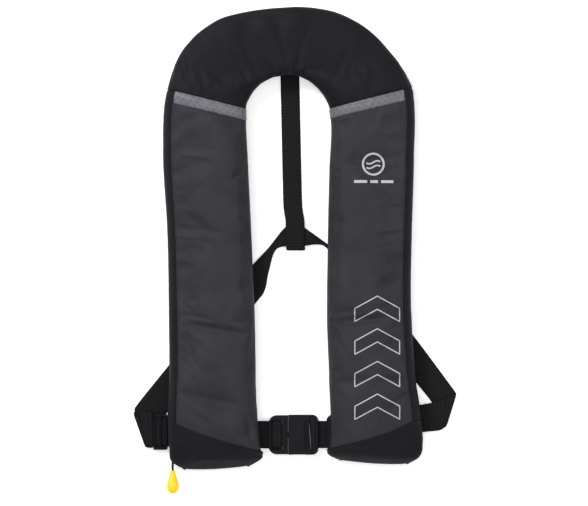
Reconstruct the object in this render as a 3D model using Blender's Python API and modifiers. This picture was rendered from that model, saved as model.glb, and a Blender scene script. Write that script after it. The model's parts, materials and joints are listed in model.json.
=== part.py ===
"""Inflatable life jacket, folded and packed in its cover, lying flat on its back.

Metres, +Z up.  +X is the wearer's left, +Y runs up to the collar and +Z points out of
the chest.  The jacket lies on z = 0: belts, then the cover's back, bladder, and front.
"""
from math import cos, pi, radians, sin, sqrt

import bmesh
import bpy
from mathutils import Matrix, Vector

MM = 0.001
GAP = 0.35                  # mm, clearance between pieces that touch
SEAM = 0.75                 # mm, how far a panel stops short of a seam line
COLLECTION = "inflatable_life_jacket"

# ---- driving dimensions, mm ----------------------------------------------------------
CLOTH = 1.6                 # cover cloth with its lining
WEB = 1.4                   # webbing thickness
BELT_Z = 3.7                # middle of the belt's front runs
REAR_Z = 0.7                # middle of the belt's rear run, on the floor
BACK_BOTTOM = 5.0           # underside of the cover's back panel
BACK_TOP = BACK_BOTTOM + CLOTH
EDGE_Z = 6.9                # lower edge of the front cover
BELLY_Z = 20.0              # height at which a lobe is widest
TUCK_IN = 6.0               # how far the neck-side edge lies under the lobe's outline
TUCK_OUT = 4.0              # the same on the outer side
SEAM_GUSSET = 0.715         # share of the cover's girth where the side gusset begins
SIDE_BAND = 0.12            # share of the girth that stands below the belly
THIN_TOP = 13.0             # folded bladder under the inflator and the oral tube

# One row for each station along the horseshoe, from the right lobe's hem (at -X) up
# round the collar and down to the left lobe's hem (at +X):
# neck-side outline x, y;  outer outline x, y;  crown height;  lift of the outer edge.
STATIONS = [
    (-58.0, -295.5, -146.0, -299.5, 12.0, 1.5),
    (-45.5, -288.0, -159.5, -291.5, 25.0, 7.0),
    (-41.0, -279.5, -163.5, -272.0, 34.0, 6.5),
    (-46.0, -271.5, -165.5, -234.0, 43.0, 1.5),
    (-49.5, -215.0, -163.8, -190.0, 47.0, 0.0),
    (-51.6, -119.0, -163.8, -105.0, 47.0, 0.0),
    (-56.0, -2.0, -166.0, 11.0, 47.0, 0.0),
    (-61.0, 102.0, -171.5, 115.0, 46.0, 0.0),
    (-63.7, 153.4, -169.0, 178.0, 45.0, 0.0),
    (-63.9, 168.0, -166.0, 193.0, 44.5, 0.0),
    (-59.2, 183.0, -153.4, 232.0, 43.0, 0.0),
    (-49.4, 196.6, -133.0, 260.0, 42.0, 0.0),
    (-35.0, 207.0, -100.0, 284.5, 41.0, 0.0),
    (-20.0, 211.5, -54.0, 296.0, 40.0, 0.0),
    (-7.0, 212.5, -4.0, 301.0, 40.0, 0.0),
    (7.0, 210.5, 48.0, 295.5, 40.0, 0.0),
    (21.6, 202.4, 88.0, 276.5, 41.0, 0.0),
    (34.3, 189.5, 120.0, 247.0, 42.0, 0.0),
    (41.5, 178.0, 143.0, 216.0, 43.0, 0.0),
    (45.0, 168.2, 152.5, 195.5, 44.5, 0.0),
    (46.4, 155.6, 154.5, 181.5, 45.0, 0.0),
    (44.4, 90.0, 154.6, 104.0, 46.0, 0.0),
    (42.2, -10.0, 151.8, 4.0, 47.0, 0.0),
    (41.6, -106.0, 151.0, -93.0, 47.0, 0.0),
    (44.0, -180.0, 156.5, -178.0, 47.0, 0.0),
    (46.5, -268.5, 164.0, -238.0, 43.0, 1.5),
    (41.0, -275.5, 166.0, -269.0, 34.0, 3.0),
    (45.5, -282.5, 161.0, -285.0, 25.0, 3.0),
    (57.0, -287.5, 149.0, -292.0, 12.0, 1.5),
]
HEM_A, TAPE_A, TOP_A = 3, 8, 9
TOP_B, TAPE_B, HEM_B = 19, 20, 25
LAST = len(STATIONS) - 1
BLADDER_A, BLADDER_B = HEM_A + 0.74, HEM_B - 0.52
THIN_END = HEM_A + 2.72     # stations from each end to where the bladder gets thick

# a point on each front flap's hinge line, which follows its neck-side edge
HINGE_A = Vector((-53.2, -285.0, EDGE_Z))
HINGE_B = Vector((52.4, 165.0, EDGE_Z))

# inflator, in the lobe at -X
INF_X = -100.0
STEM_Y = -203.0
BODY_Y = (-222.0, -166.0)
BODY_Z = (15.6, 36.0)
CYL_Z = 27.5
CYL_R = 13.0
CYL_TOP_Y = -44.0
CAP_Z = 26.0
LEVER_PIVOT = Vector((INF_X - 22.5, -190.0, 23.0))
LEVER_R = 20.0
LEVER_SWING = 40.0          # degrees each side of straight out
TIP_DX = LEVER_R * cos(radians(LEVER_SWING))
TIP_DY = LEVER_R * sin(radians(LEVER_SWING))

# oral tube and whistle, in the lobe at +X
ORAL_X, ORAL_FLANGE_Y, ORAL_Z = 100.0, -198.0, 27.0
ORAL_TUBE_END_Y = -105.0
WHISTLE = Vector((69.0, -118.0, 20.0))

# buckle
BUCKLE_Y = -256.0
BUCKLE_HALF = 26.0          # half its width across the webbing
ARM_ROOT_X, ARM_ROOT_Y = -8.5, 18.5     # where the spring arms bend; Y from BUCKLE_Y
ARM_Z = 5.5

# side adjuster on the belt
ADJUSTER_X = (-185.2, -166.4)
ADJUSTER_Y = (-275.8, -229.2)

# pull cord: points of its route, and the toggle at its end
CORD_R = 1.5
KNOT_R = 2.5
CORD_ROUTE = [
    (INF_X - 22.5 - TIP_DX, -180.5, 17.0), (-138.0, -194.0, 16.2), (-140.2, -212.0, 14.2),
    (-146.0, -236.0, 11.4), (-153.2, -262.0, 9.3), (-158.0, -281.0, 8.7),
    (-159.5, -293.0, 8.6), (-159.5, -302.2, 8.6),
]
TOGGLE_X, TOGGLE_Z = -159.5, 8.6
TOGGLE_TOP_Y, TOGGLE_LEN, TOGGLE_R = -302.5, 30.3, 8.3

COLOURS = {
    "cover_grey": ((0.046, 0.045, 0.053, 1), 0.75, 0.0),
    "cover_black": ((0.018, 0.018, 0.022, 1), 0.8, 0.0),
    "webbing_black": ((0.014, 0.014, 0.016, 1), 0.85, 0.0),
    "reflective_grey": ((0.22, 0.21, 0.24, 1), 0.4, 0.0),
    "buckle_plastic": ((0.019, 0.019, 0.023, 1), 0.4, 0.0),
    "bladder_yellow": ((0.86, 0.62, 0.02, 1), 0.6, 0.0),
    "toggle_yellow": ((1.0, 0.66, 0.03, 1), 0.35, 0.0),
    "inflator_black": ((0.02, 0.02, 0.022, 1), 0.45, 0.0),
    "cap_yellow": ((0.9, 0.6, 0.03, 1), 0.4, 0.0),
    "clip_green": ((0.02, 0.4, 0.07, 1), 0.4, 0.0),
    "steel": ((0.6, 0.6, 0.6, 1), 0.3, 1.0),
    "rubber_black": ((0.015, 0.015, 0.015, 1), 0.9, 0.0),
    "whistle_orange": ((0.9, 0.2, 0.02, 1), 0.4, 0.0),
    "bobbin_white": ((0.8, 0.8, 0.78, 1), 0.6, 0.0),
    "cord_black": ((0.02, 0.02, 0.02, 1), 0.8, 0.0),
}


# ---- scene helpers -------------------------------------------------------------------
def clear_scene():
    for obj in list(bpy.data.objects):
        bpy.data.objects.remove(obj, do_unlink=True)


def make_collection(name):
    collection = bpy.data.collections.new(name)
    bpy.context.scene.collection.children.link(collection)
    return collection


def material(name):
    mat = bpy.data.materials.get(name)
    if mat is None:
        colour, rough, metal = COLOURS[name]
        mat = bpy.data.materials.new(name)
        mat.use_nodes = True
        shader = mat.node_tree.nodes["Principled BSDF"]
        shader.inputs["Base Color"].default_value = colour
        shader.inputs["Roughness"].default_value = rough
        shader.inputs["Metallic"].default_value = metal
        mat.diffuse_color = colour
    return mat


def finish(obj, name, mat, collection=None):
    """Name an object, file it in its collection and give it its material."""
    obj.name = name
    for old in list(obj.users_collection):
        old.objects.unlink(obj)
    (collection or PARTS).objects.link(obj)
    if mat:
        obj.data.materials.append(material(mat))
    return obj


def mesh_object(name, verts, faces, mat):
    mesh = bpy.data.meshes.new(name)
    mesh.from_pydata([Vector(v) * MM for v in verts], [], faces)
    mesh.update()
    return finish(bpy.data.objects.new(name, mesh), name, mat)


def solidify(obj, thickness, offset=-1.0):
    mod = obj.modifiers.new("thickness", "SOLIDIFY")
    mod.thickness = thickness * MM
    mod.offset = offset
    mod.use_even_offset = True
    return obj


def bevel(obj, width, segments=2, angle=35.0):
    mod = obj.modifiers.new("edges", "BEVEL")
    mod.width = width * MM
    mod.segments = segments
    mod.limit_method = "ANGLE"
    mod.angle_limit = radians(angle)
    return obj


def block(name, low, high, mat=None, collection=None):
    """Box between two corners given in mm."""
    low, high = Vector(low), Vector(high)
    bpy.ops.mesh.primitive_cube_add(size=1.0)
    obj = bpy.context.object
    size = (high - low) * MM
    obj.data.transform(Matrix.Diagonal((*size, 1.0)))
    obj.location = (low + high) * 0.5 * MM
    return finish(obj, name, mat, collection)


def cylinder(name, start, end, radius, mat=None, collection=None, sides=24):
    """Cylinder between two points given in mm."""
    start, end = Vector(start), Vector(end)
    bpy.ops.mesh.primitive_cylinder_add(vertices=sides, radius=radius * MM,
                                        depth=(end - start).length * MM)
    obj = bpy.context.object
    obj.data.transform((end - start).to_track_quat("Z", "Y").to_matrix().to_4x4())
    obj.location = (start + end) * 0.5 * MM
    return finish(obj, name, mat, collection)


def cut(obj, *tools, operation="DIFFERENCE"):
    for tool in tools:
        tool.hide_render = True
        tool.display_type = "WIRE"
        mod = obj.modifiers.new("cut", "BOOLEAN")
        mod.operation = operation
        mod.object = tool
    return obj


def turned(name, origin, axis, profile, mat, steps=24):
    """Profile of (distance along axis, radius) in mm, turned about an axis.

    It climbs its outer side.  A profile that ends on the axis closes itself, and a ring's
    profile ends where it starts.
    """
    mesh = bpy.data.meshes.new(name)
    verts = [Vector((r, 0.0, h)) * MM for h, r in reversed(profile)]
    edges = [(i, i + 1) for i in range(len(verts) - 1)]
    if profile[0] == profile[-1]:
        verts.pop()
        edges[-1] = (len(verts) - 1, 0)
    mesh.from_pydata(verts, edges, [])
    obj = finish(bpy.data.objects.new(name, mesh), name, mat)
    obj.location = Vector(origin) * MM
    obj.rotation_euler = Vector(axis).to_track_quat("Z", "Y").to_euler()
    mod = obj.modifiers.new("turn", "SCREW")
    mod.steps = steps
    mod.render_steps = steps
    mod.use_merge_vertices = True
    mod.merge_threshold = 0.00001
    return obj


def ribbon(name, stations, thickness, mat):
    """Strap from pairs of edge points, solid to both sides of its middle surface."""
    verts = [point for pair in stations for point in pair]
    faces = [(2 * i, 2 * i + 1, 2 * i + 3, 2 * i + 2) for i in range(len(stations) - 1)]
    return solidify(mesh_object(name, verts, faces, mat), thickness, 0.0)


# ---- the horseshoe -------------------------------------------------------------------
def slope(values, knots, i):
    """Slope at value i of the parabola through it and its two neighbours."""
    low, high = max(i - 1, 0), min(i + 1, len(values) - 1)
    if high - low < 2:
        return (values[high] - values[low]) / (knots[high] - knots[low])
    before, after = knots[i] - knots[low], knots[high] - knots[i]
    return ((values[i] - values[low]) / before * after
            + (values[high] - values[i]) / after * before) / (before + after)


def smooth(values, u, knots=None):
    """Smooth value at station number u, through the values at the whole numbers."""
    knots = knots or range(len(values))
    i = min(int(u), len(values) - 2)
    t = u - i
    step = knots[i + 1] - knots[i]
    return (values[i] * (2 * t ** 3 - 3 * t ** 2 + 1)
            + values[i + 1] * (3 * t ** 2 - 2 * t ** 3)
            + step * slope(values, knots, i) * (t ** 3 - 2 * t ** 2 + t)
            + step * slope(values, knots, i + 1) * (t ** 3 - t ** 2))


def row_distances():
    """Distance from the first station to each, along the middle of the horseshoe."""
    middles = [Vector((row[0] + row[2], row[1] + row[3])) * 0.5 for row in STATIONS]
    run = [0.0]
    for a, b in zip(middles, middles[1:]):
        run.append(run[-1] + (b - a).length)
    return run


COLUMNS = list(zip(*STATIONS))
KNOTS = row_distances()


def station(u):
    """Neck-side point, unit direction outwards, width, crown height and edge lift."""
    ix, iy, ox, oy, crown, lift = (smooth(column, u, KNOTS) for column in COLUMNS)
    inner, outer = Vector((ix, iy, 0.0)), Vector((ox, oy, 0.0))
    across = outer - inner
    return inner, across.normalized(), across.length, crown, max(lift, 0.0)


def section(v, width, crown, lift):
    """Distance from the neck-side outline and height, at a share v of the girth."""
    belly = min(BELLY_Z, EDGE_Z + 0.45 * (crown - EDGE_Z))
    if v < SIDE_BAND:
        t = v / SIDE_BAND
        return TUCK_IN * (1 - t) ** 1.5, EDGE_Z + (belly - EDGE_Z) * t
    if v > 1 - SIDE_BAND:
        t = (1 - v) / SIDE_BAND
        low = EDGE_Z + lift
        return width - TUCK_OUT * (1 - t) ** 1.5, low + (max(belly, low + 1) - low) * t
    angle = pi * (v - SIDE_BAND) / (1 - 2 * SIDE_BAND)
    side = -cos(angle)
    reach = abs(side) ** 0.85 * (1 if side > 0 else -1)
    base = belly
    if side > 0:
        base = belly + (max(belly, EDGE_Z + lift + 1) - belly) * reach
    return width * 0.5 * (1 + reach), base + (crown - base) * sin(angle) ** 0.75


def cover_point(u, v):
    inner, across, width, crown, lift = station(u)
    s, z = section(v, width, crown, lift)
    return inner + across * s + Vector((0, 0, z))


def spaced(start, end, count):
    return [start + (end - start) * i / count for i in range(count + 1)]


def trim(rows, trims):
    """Pull the named edges of a grid in from their seam lines."""
    if "first" in trims:
        rows[0] = [a + (b - a).normalized() * SEAM for a, b in zip(rows[0], rows[1])]
    if "last" in trims:
        rows[-1] = [a + (b - a).normalized() * SEAM for a, b in zip(rows[-1], rows[-2])]
    for row in rows:
        if "inner" in trims:
            row[0] = row[0] + (row[1] - row[0]).normalized() * SEAM
        if "outer" in trims:
            row[-1] = row[-1] + (row[-2] - row[-1]).normalized() * SEAM
    return rows


def grid(name, rows, mat):
    """Open quad surface; rows run along the horseshoe and columns across it."""
    across = len(rows[0])
    verts = [point for row in rows for point in row]
    faces = []
    for r in range(len(rows) - 1):
        for c in range(across - 1):
            i = r * across + c
            faces.append((i, i + across, i + across + 1, i + 1))
    return mesh_object(name, verts, faces, mat)


def cover_panel(name, mat, u_span, u_steps, v_span, v_steps, trims=""):
    """Panel of the front cover between two stations and two shares of the girth."""
    rows = [[cover_point(u, v) for v in spaced(*v_span, v_steps)]
            for u in spaced(*u_span, u_steps)]
    return solidify(grid(name, trim(rows, trims), mat), CLOTH)


def surface_strip(name, mat, u_span, u_steps, v_span, v_steps, thickness):
    """Tape sewn on the outside of the cover, one gap above it."""
    rows = [[cover_point(u, v) for v in spaced(*v_span, v_steps)]
            for u in spaced(*u_span, u_steps)]
    obj = grid(name, rows, mat)
    for vert in obj.data.vertices:
        vert.co += vert.normal * (GAP + thickness) * MM
    return solidify(obj, thickness)


def flat_strip(name, mat, u_span, u_steps, from_inner, from_outer, z, thickness):
    """Flat strip whose edges keep their distances from the two outlines (mm)."""
    verts = []
    for u in spaced(*u_span, u_steps):
        inner, across, width, _, _ = station(u)
        low, high = (edge(width) for edge in (from_inner, from_outer))
        verts.append(inner + across * low + Vector((0, 0, z)))
        verts.append(inner + across * high + Vector((0, 0, z)))
    faces = [(2 * i, 2 * i + 2, 2 * i + 3, 2 * i + 1) for i in range(u_steps)]
    return solidify(mesh_object(name, verts, faces, mat), thickness, 1.0)


def build_cover():
    """Back panel, collar and the two front flaps with their seams."""
    flat_strip("cover_back_panel", "cover_black", (0, LAST), 78,
               lambda w: 10.0, lambda w: w - 4.5, BACK_BOTTOM, CLOTH)
    flat_strip("collar_lining", "cover_black", (TOP_A + 1, TOP_B - 1), 24,
               lambda w: 14.0, lambda w: w - 12.0, 2.4, 2.2)
    cover_panel("collar_cover", "cover_black", (TOP_A, TOP_B), 30, (0, 1), 16,
                ("first", "last"))
    sides = (("right", 0, HEM_A, TAPE_A, TOP_A), ("left", LAST, HEM_B, TAPE_B, TOP_B))
    for side, end, hem, tape, top in sides:
        span, hem_span = sorted((hem, top)), sorted((end, hem))
        inner_edge = "last" if side == "right" else "first"
        cover_panel(f"{side}_front_panel", "cover_grey", span, 18, (0, SEAM_GUSSET), 11,
                    ("first", "last", "outer"))
        cover_panel(f"{side}_side_gusset", "cover_black", span, 18, (SEAM_GUSSET, 1), 5,
                    ("first", "last", "inner"))
        cover_panel(f"{side}_hem_panel", "cover_black", hem_span, 9, (0, 1), 16,
                    (inner_edge,))
        surface_strip(f"{side}_reflective_tape", "reflective_grey",
                      sorted((tape + 0.06 * (top - tape), top - 0.06 * (top - tape))), 2,
                      (0.13, SEAM_GUSSET - 0.01), 10, 0.5)
        strip = sorted((hem + 1.42 * (1 if side == "right" else -1),
                        tape - 0.1 * (1 if side == "right" else -1)))
        flat_strip(f"{side}_loop_strip", "webbing_black", strip, 14,
                   lambda w: w - 16.0, lambda w: w - 7.0, BACK_TOP + GAP, 0.7)
        flat_strip(f"{side}_hook_strip", "webbing_black", strip, 14,
                   lambda w: w - 16.0, lambda w: w - 7.0, BACK_TOP + 2 * GAP + 0.7, 0.7)


def bladder_height(u):
    """Top of the folded bladder: thin where the inflator and the oral tube lie on it."""
    along = min(u, LAST - u)
    share = min(max((along - THIN_END) / 0.2, 0.0), 1.0)
    full = station(u)[3] - 5.5
    return THIN_TOP + (full - THIN_TOP) * share


def bladder_section(u):
    inner, across, width, _, _ = station(u)
    top = bladder_height(u)
    reach = width - 26.0
    low = EDGE_Z + 0.3
    right = [TUCK_IN + sqrt(reach ** 2 - (z - EDGE_Z) ** 2) for z in (low, 0.45 * top, top)]
    profile = [
        (13.0, low), (11.5, low + 0.35 * (top - low)), (13.0, low + 0.7 * (top - low)),
        (24.0, top - 0.06 * (top - low)), (0.5 * width, top),
        (right[2] - 14.0, top - 0.1 * (top - low)),
        (right[1] - 2.0, low + 0.5 * (top - low)), (right[0] - 2.0, low),
    ]
    return [inner + across * s + Vector((0, 0, z)) for s, z in profile]


def build_bladder():
    """Folded bladder: one closed loft through its sections, with capped ends."""
    step_up = THIN_END + 0.22
    full = THIN_END + 0.68
    marks = spaced(BLADDER_A, THIN_END - 0.02, 5) + [step_up] + spaced(full, LAST - full, 34)
    marks += [LAST - step_up] + spaced(LAST - THIN_END + 0.02, BLADDER_B, 5)
    sections = [bladder_section(u) for u in marks]
    count = len(sections[0])
    verts = [point for ring in sections for point in ring]
    faces = [tuple(range(count)), tuple(reversed(range(len(verts) - count, len(verts))))]
    for r in range(len(sections) - 1):
        for c in range(count):
            i, j = r * count + c, r * count + (c + 1) % count
            faces.append((i, i + count, j + count, j))
    mesh_object("bladder", verts, faces, "bladder_yellow")


# ---- inflator ------------------------------------------------------------------------
def build_inflator():
    """Manifold, valve body, lever, piercing pin, automatic head and gas cylinder."""
    turned("inflator_manifold", (INF_X, STEM_Y, 0), (0, 0, 1),
           [(THIN_TOP + GAP, 0), (THIN_TOP + GAP, 16), (THIN_TOP + GAP + 1.4, 16),
            (THIN_TOP + GAP + 1.8, 5), (37.0, 5), (38.5, 3.5), (38.5, 0)], "rubber_black")
    turned("manifold_nut", (INF_X, STEM_Y, BODY_Z[1] + GAP), (0, 0, 1),
           [(0, 5.4), (0, 8.5), (3.4, 8.5), (5.6, 6.0), (6.2, 0), (3.4, 0), (3.4, 5.4),
            (0, 5.4)], "inflator_black", 12)
    body = block("inflator_body", (INF_X - 17, BODY_Y[0], BODY_Z[0]),
                 (INF_X + 17, BODY_Y[1], BODY_Z[1]), "inflator_black")
    bevel(body, 2.5)
    spigot = cylinder("spigot_tool", (INF_X, BODY_Y[0] - 6, CAP_Z),
                      (INF_X, BODY_Y[0] + 4, CAP_Z), 9.6, None, CUTTERS)
    ears = []
    for z in (17.4, 25.35):
        ears.append(block("ear_tool", (INF_X - 27, LEVER_PIVOT.y - 5, z),
                          (INF_X - 12, LEVER_PIVOT.y + 5, z + 3.2), None, CUTTERS))
    cut(body, spigot, *ears, operation="UNION")
    cut(body,
        cylinder("stem_tool", (INF_X, STEM_Y, 0), (INF_X, STEM_Y, 50), 5.4, None, CUTTERS),
        cylinder("socket_tool", (INF_X, BODY_Y[1] - 10, CYL_Z),
                 (INF_X, BODY_Y[1] + 5, CYL_Z), 7.0, None, CUTTERS),
        cylinder("pin_bore_tool", (INF_X, BODY_Y[1] - 24, CYL_Z),
                 (INF_X, BODY_Y[1], CYL_Z), 2.2, None, CUTTERS, 12),
        cylinder("pivot_tool", LEVER_PIVOT - Vector((0, 0, 9)),
                 LEVER_PIVOT + Vector((0, 0, 9)), 2.3, None, CUTTERS, 16))
    turned("piercing_pin", (INF_X, BODY_Y[1] - 23.5, CYL_Z), (0, 1, 0),
           [(0, 0), (0, 1.8), (6.5, 1.8), (9.0, 0)], "steel", 12)
    cylinder("lever_pin", LEVER_PIVOT - Vector((0, 0, 6.8)),
             LEVER_PIVOT + Vector((0, 0, 6.8)), 2.0, "steel", None, 16)
    build_lever()
    turned("auto_cap", (INF_X, BODY_Y[0] - 0.6, CAP_Z), (0, -1, 0),
           [(0, 10.1), (0, 13.4), (2, 13.4), (2.6, 12.9), (19, 12.9), (22.5, 10.5),
            (23.4, 0), (20.4, 0), (20.4, 10.1), (0, 10.1)], "cap_yellow", 28)
    turned("auto_bobbin", (INF_X, BODY_Y[0] - 7.6, CAP_Z), (0, -1, 0),
           [(0, 4), (0, 9.4), (10, 9.4), (10, 4), (0, 4)], "bobbin_white")
    turned("cylinder_gasket", (INF_X, BODY_Y[1] + GAP, CYL_Z), (0, 1, 0),
           [(0, 6.6), (0, 9), (1.4, 9), (1.4, 6.6), (0, 6.6)], "rubber_black")
    neck = BODY_Y[1] - 9
    length = CYL_TOP_Y - neck
    dome = [(length - CYL_R + CYL_R * sin(a), CYL_R * cos(a))
            for a in (radians(d) for d in range(0, 90, 18))]
    turned("co2_cylinder", (INF_X, neck, CYL_Z), (0, 1, 0),
           [(0, 0), (0, 5.4), (0.8, 6.2), (12.5, 6.2), (16, 8), (22, 12.2), (25, CYL_R)]
           + dome + [(length, 0)], "steel", 28)


def build_lever():
    """Lever arm at its rest angle, with its hub and end, and the clip that locks it."""
    angle = radians(180 - LEVER_SWING)
    out = Vector((cos(angle), sin(angle), 0))
    side = Vector((-out.y, out.x, 0))
    half = 1.9
    outline = [LEVER_PIVOT + Vector((4.3 * cos(a), 4.3 * sin(a), 0))
               for a in (angle + radians(d) for d in range(50, 311, 20))]
    outline += [LEVER_PIVOT + out * LEVER_R + Vector((3 * cos(a), 3 * sin(a), 0))
                for a in (angle + radians(d) for d in range(-80, 81, 20))]
    count = len(outline)
    up = Vector((0, 0, half))
    verts = [p - up for p in outline] + [p + up for p in outline]
    faces = [tuple(reversed(range(count))), tuple(range(count, 2 * count))]
    for i in range(count):
        j = (i + 1) % count
        faces.append((i, j, j + count, i + count))
    lever = mesh_object("inflator_lever", verts, faces, "cap_yellow")
    cut(lever, cylinder("lever_pin_tool", LEVER_PIVOT - 4 * up, LEVER_PIVOT + 4 * up, 2.3,
                        None, CUTTERS, 16),
        cylinder("lever_eye_tool", LEVER_PIVOT + out * LEVER_R - 4 * up,
                 LEVER_PIVOT + out * LEVER_R + 4 * up, 1.4, None, CUTTERS, 12))
    ring = []
    for reach in (9.6, 15.6):
        loop = []
        for wide, high in ((-5.2, -3.4), (5.2, -3.4), (5.2, 3.4), (-5.2, 3.4)):
            loop.append(LEVER_PIVOT + out * reach + side * wide + Vector((0, 0, high)))
        ring.append(loop)
    verts = ring[0] + ring[1]
    faces = [(0, 3, 2, 1), (4, 5, 6, 7)]
    faces += [(i, (i + 1) % 4, (i + 1) % 4 + 4, i + 4) for i in range(4)]
    clip = mesh_object("safety_clip", verts, faces, "clip_green")
    tunnel = [p + (p - (LEVER_PIVOT + out * 12.6)).dot(out) * out for p in verts]
    tunnel = [LEVER_PIVOT + (p - LEVER_PIVOT).dot(out) * out
              + (p - LEVER_PIVOT).dot(side) * side * (4.4 / 5.2)
              + Vector((0, 0, (p - LEVER_PIVOT).z * 2.3 / 3.4)) for p in tunnel]
    tool = mesh_object("clip_tool", tunnel, faces, None)
    finish(tool, "clip_tool", None, CUTTERS)
    cut(clip, tool)


# ---- pull cord -----------------------------------------------------------------------
def smooth_route(points, steps):
    """Points of a smooth curve through a route's own points."""
    columns = list(zip(*points))
    last = len(points) - 1
    return [Vector([smooth(column, last * i / steps) for column in columns])
            for i in range(steps + 1)]


def tube(name, points, radius, mat, resolution=2):
    curve = bpy.data.curves.new(name, "CURVE")
    curve.dimensions = "3D"
    curve.bevel_depth = radius * MM
    curve.bevel_resolution = resolution
    curve.use_fill_caps = True
    spline = curve.splines.new("POLY")
    spline.points.add(len(points) - 1)
    for target, point in zip(spline.points, points):
        target.co = (*(Vector(point) * MM), 1)
    return finish(bpy.data.objects.new(name, curve), name, mat)


def build_cord():
    """Pull cord from the knot under the lever's eye to the toggle below the hem."""
    tube("pull_cord", smooth_route(CORD_ROUTE, 22), CORD_R, "cord_black")
    x, y, z = CORD_ROUTE[0]
    knot = (x, y + KNOT_R + GAP, z - 0.2)
    bpy.ops.mesh.primitive_uv_sphere_add(segments=14, ring_count=8, radius=KNOT_R * MM)
    obj = bpy.context.object
    obj.location = Vector(knot) * MM
    finish(obj, "cord_knot", "cord_black")
    end = TOGGLE_LEN
    profile = [(0, 0), (0, 3.0), (4, 3.6), (9, 5.0), (14, 7.2), (19, TOGGLE_R),
               (23.5, 7.6), (27.5, 5.0), (29.6, 2.4), (end, 0)]
    turned("pull_toggle", (TOGGLE_X, TOGGLE_TOP_Y, TOGGLE_Z), (0, -1, 0), profile,
           "toggle_yellow", 20)


# ---- oral tube, whistle, lifting loop -------------------------------------------------
def build_oral_tube():
    base = THIN_TOP + GAP
    turned("oral_tube_flange", (ORAL_X, ORAL_FLANGE_Y, base), (0, 0, 1),
           [(0, 0), (0, 17), (1.2, 17), (1.8, 8), (2.2, 0)], "rubber_black")
    start = Vector((ORAL_X, ORAL_FLANGE_Y, base + 3.4))
    bend = ORAL_Z - start.z
    path = [start]
    for step in range(1, 8):
        a = pi / 2 * step / 7
        path.append(start + Vector((0, bend * (1 - cos(a)), bend * sin(a))))
    path.append(Vector((ORAL_X, ORAL_TUBE_END_Y, ORAL_Z)))
    tube("oral_tube", path, 5.5, "rubber_black", 4)
    mouth = ORAL_TUBE_END_Y + GAP
    turned("oral_valve_body", (ORAL_X, mouth, ORAL_Z), (0, 1, 0),
           [(0, 0), (0, 7.0), (9, 7.0), (10, 6.2), (24, 6.2), (24, 4.6), (6, 4.6), (6, 0)],
           "inflator_black", 20)
    turned("oral_valve_poppet", (ORAL_X, mouth + 9.0, ORAL_Z), (0, 1, 0),
           [(0, 0), (0, 4.2), (3, 4.2), (3.4, 1.6), (12, 1.6), (12, 3.2), (13.4, 3.2),
            (13.8, 0)], "whistle_orange", 16)
    turned("oral_dust_cap", (ORAL_X, mouth + 15.0, ORAL_Z), (0, 1, 0),
           [(0, 6.6), (0, 8.2), (11.5, 8.2), (12.5, 7.2), (12.5, 0), (10.8, 0), (10.8, 6.6),
            (0, 6.6)], "inflator_black", 20)


def build_whistle():
    """Flat whistle that swings on an eyelet fixed to the bladder."""
    base = THIN_TOP + GAP
    x, y, z = WHISTLE
    turned("whistle_eyelet", (x, y, base), (0, 0, 1),
           [(0, 0), (0, 7), (0.9, 7), (1.4, 2.3), (10.6, 2.3), (10.6, 4.6), (12, 4.2),
            (12.2, 0)], "steel", 16)
    body = block("whistle", (x - 8, y - 5.5, z - 3.5), (x + 8, y + 46, z + 3.0),
                 "whistle_orange")
    bevel(body, 2.2)
    cut(body,
        cylinder("whistle_eye_tool", (x, y, z - 9), (x, y, z + 9), 2.7, None, CUTTERS, 16),
        block("whistle_slot_left_tool", (x - 12, y + 16, z - 1.2), (x - 5, y + 22, z + 9),
              None, CUTTERS),
        block("whistle_slot_right_tool", (x + 5, y + 16, z - 1.2), (x + 12, y + 22, z + 9),
              None, CUTTERS),
        block("whistle_mouth_tool", (x - 5, y + 34, z - 1.4), (x + 5, y + 50, z + 1.2),
              None, CUTTERS))


def build_lifting_loop():
    """Lifting becket: a folded webbing loop sewn on top of the bladder."""
    low = THIN_TOP + GAP + WEB / 2
    path = [(-170, low), (-110, low), (-100.5, low + 1.4), (-98.0, low + 4.0),
            (-100.5, low + 6.6), (-110, low + 8.0), (-132, low + 5.6), (-142, low + WEB + 0.5),
            (-168, low + WEB + 0.5)]
    ribbon("lifting_loop", [((112, y, z), (131, y, z)) for y, z in path], WEB,
           "webbing_black")


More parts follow.
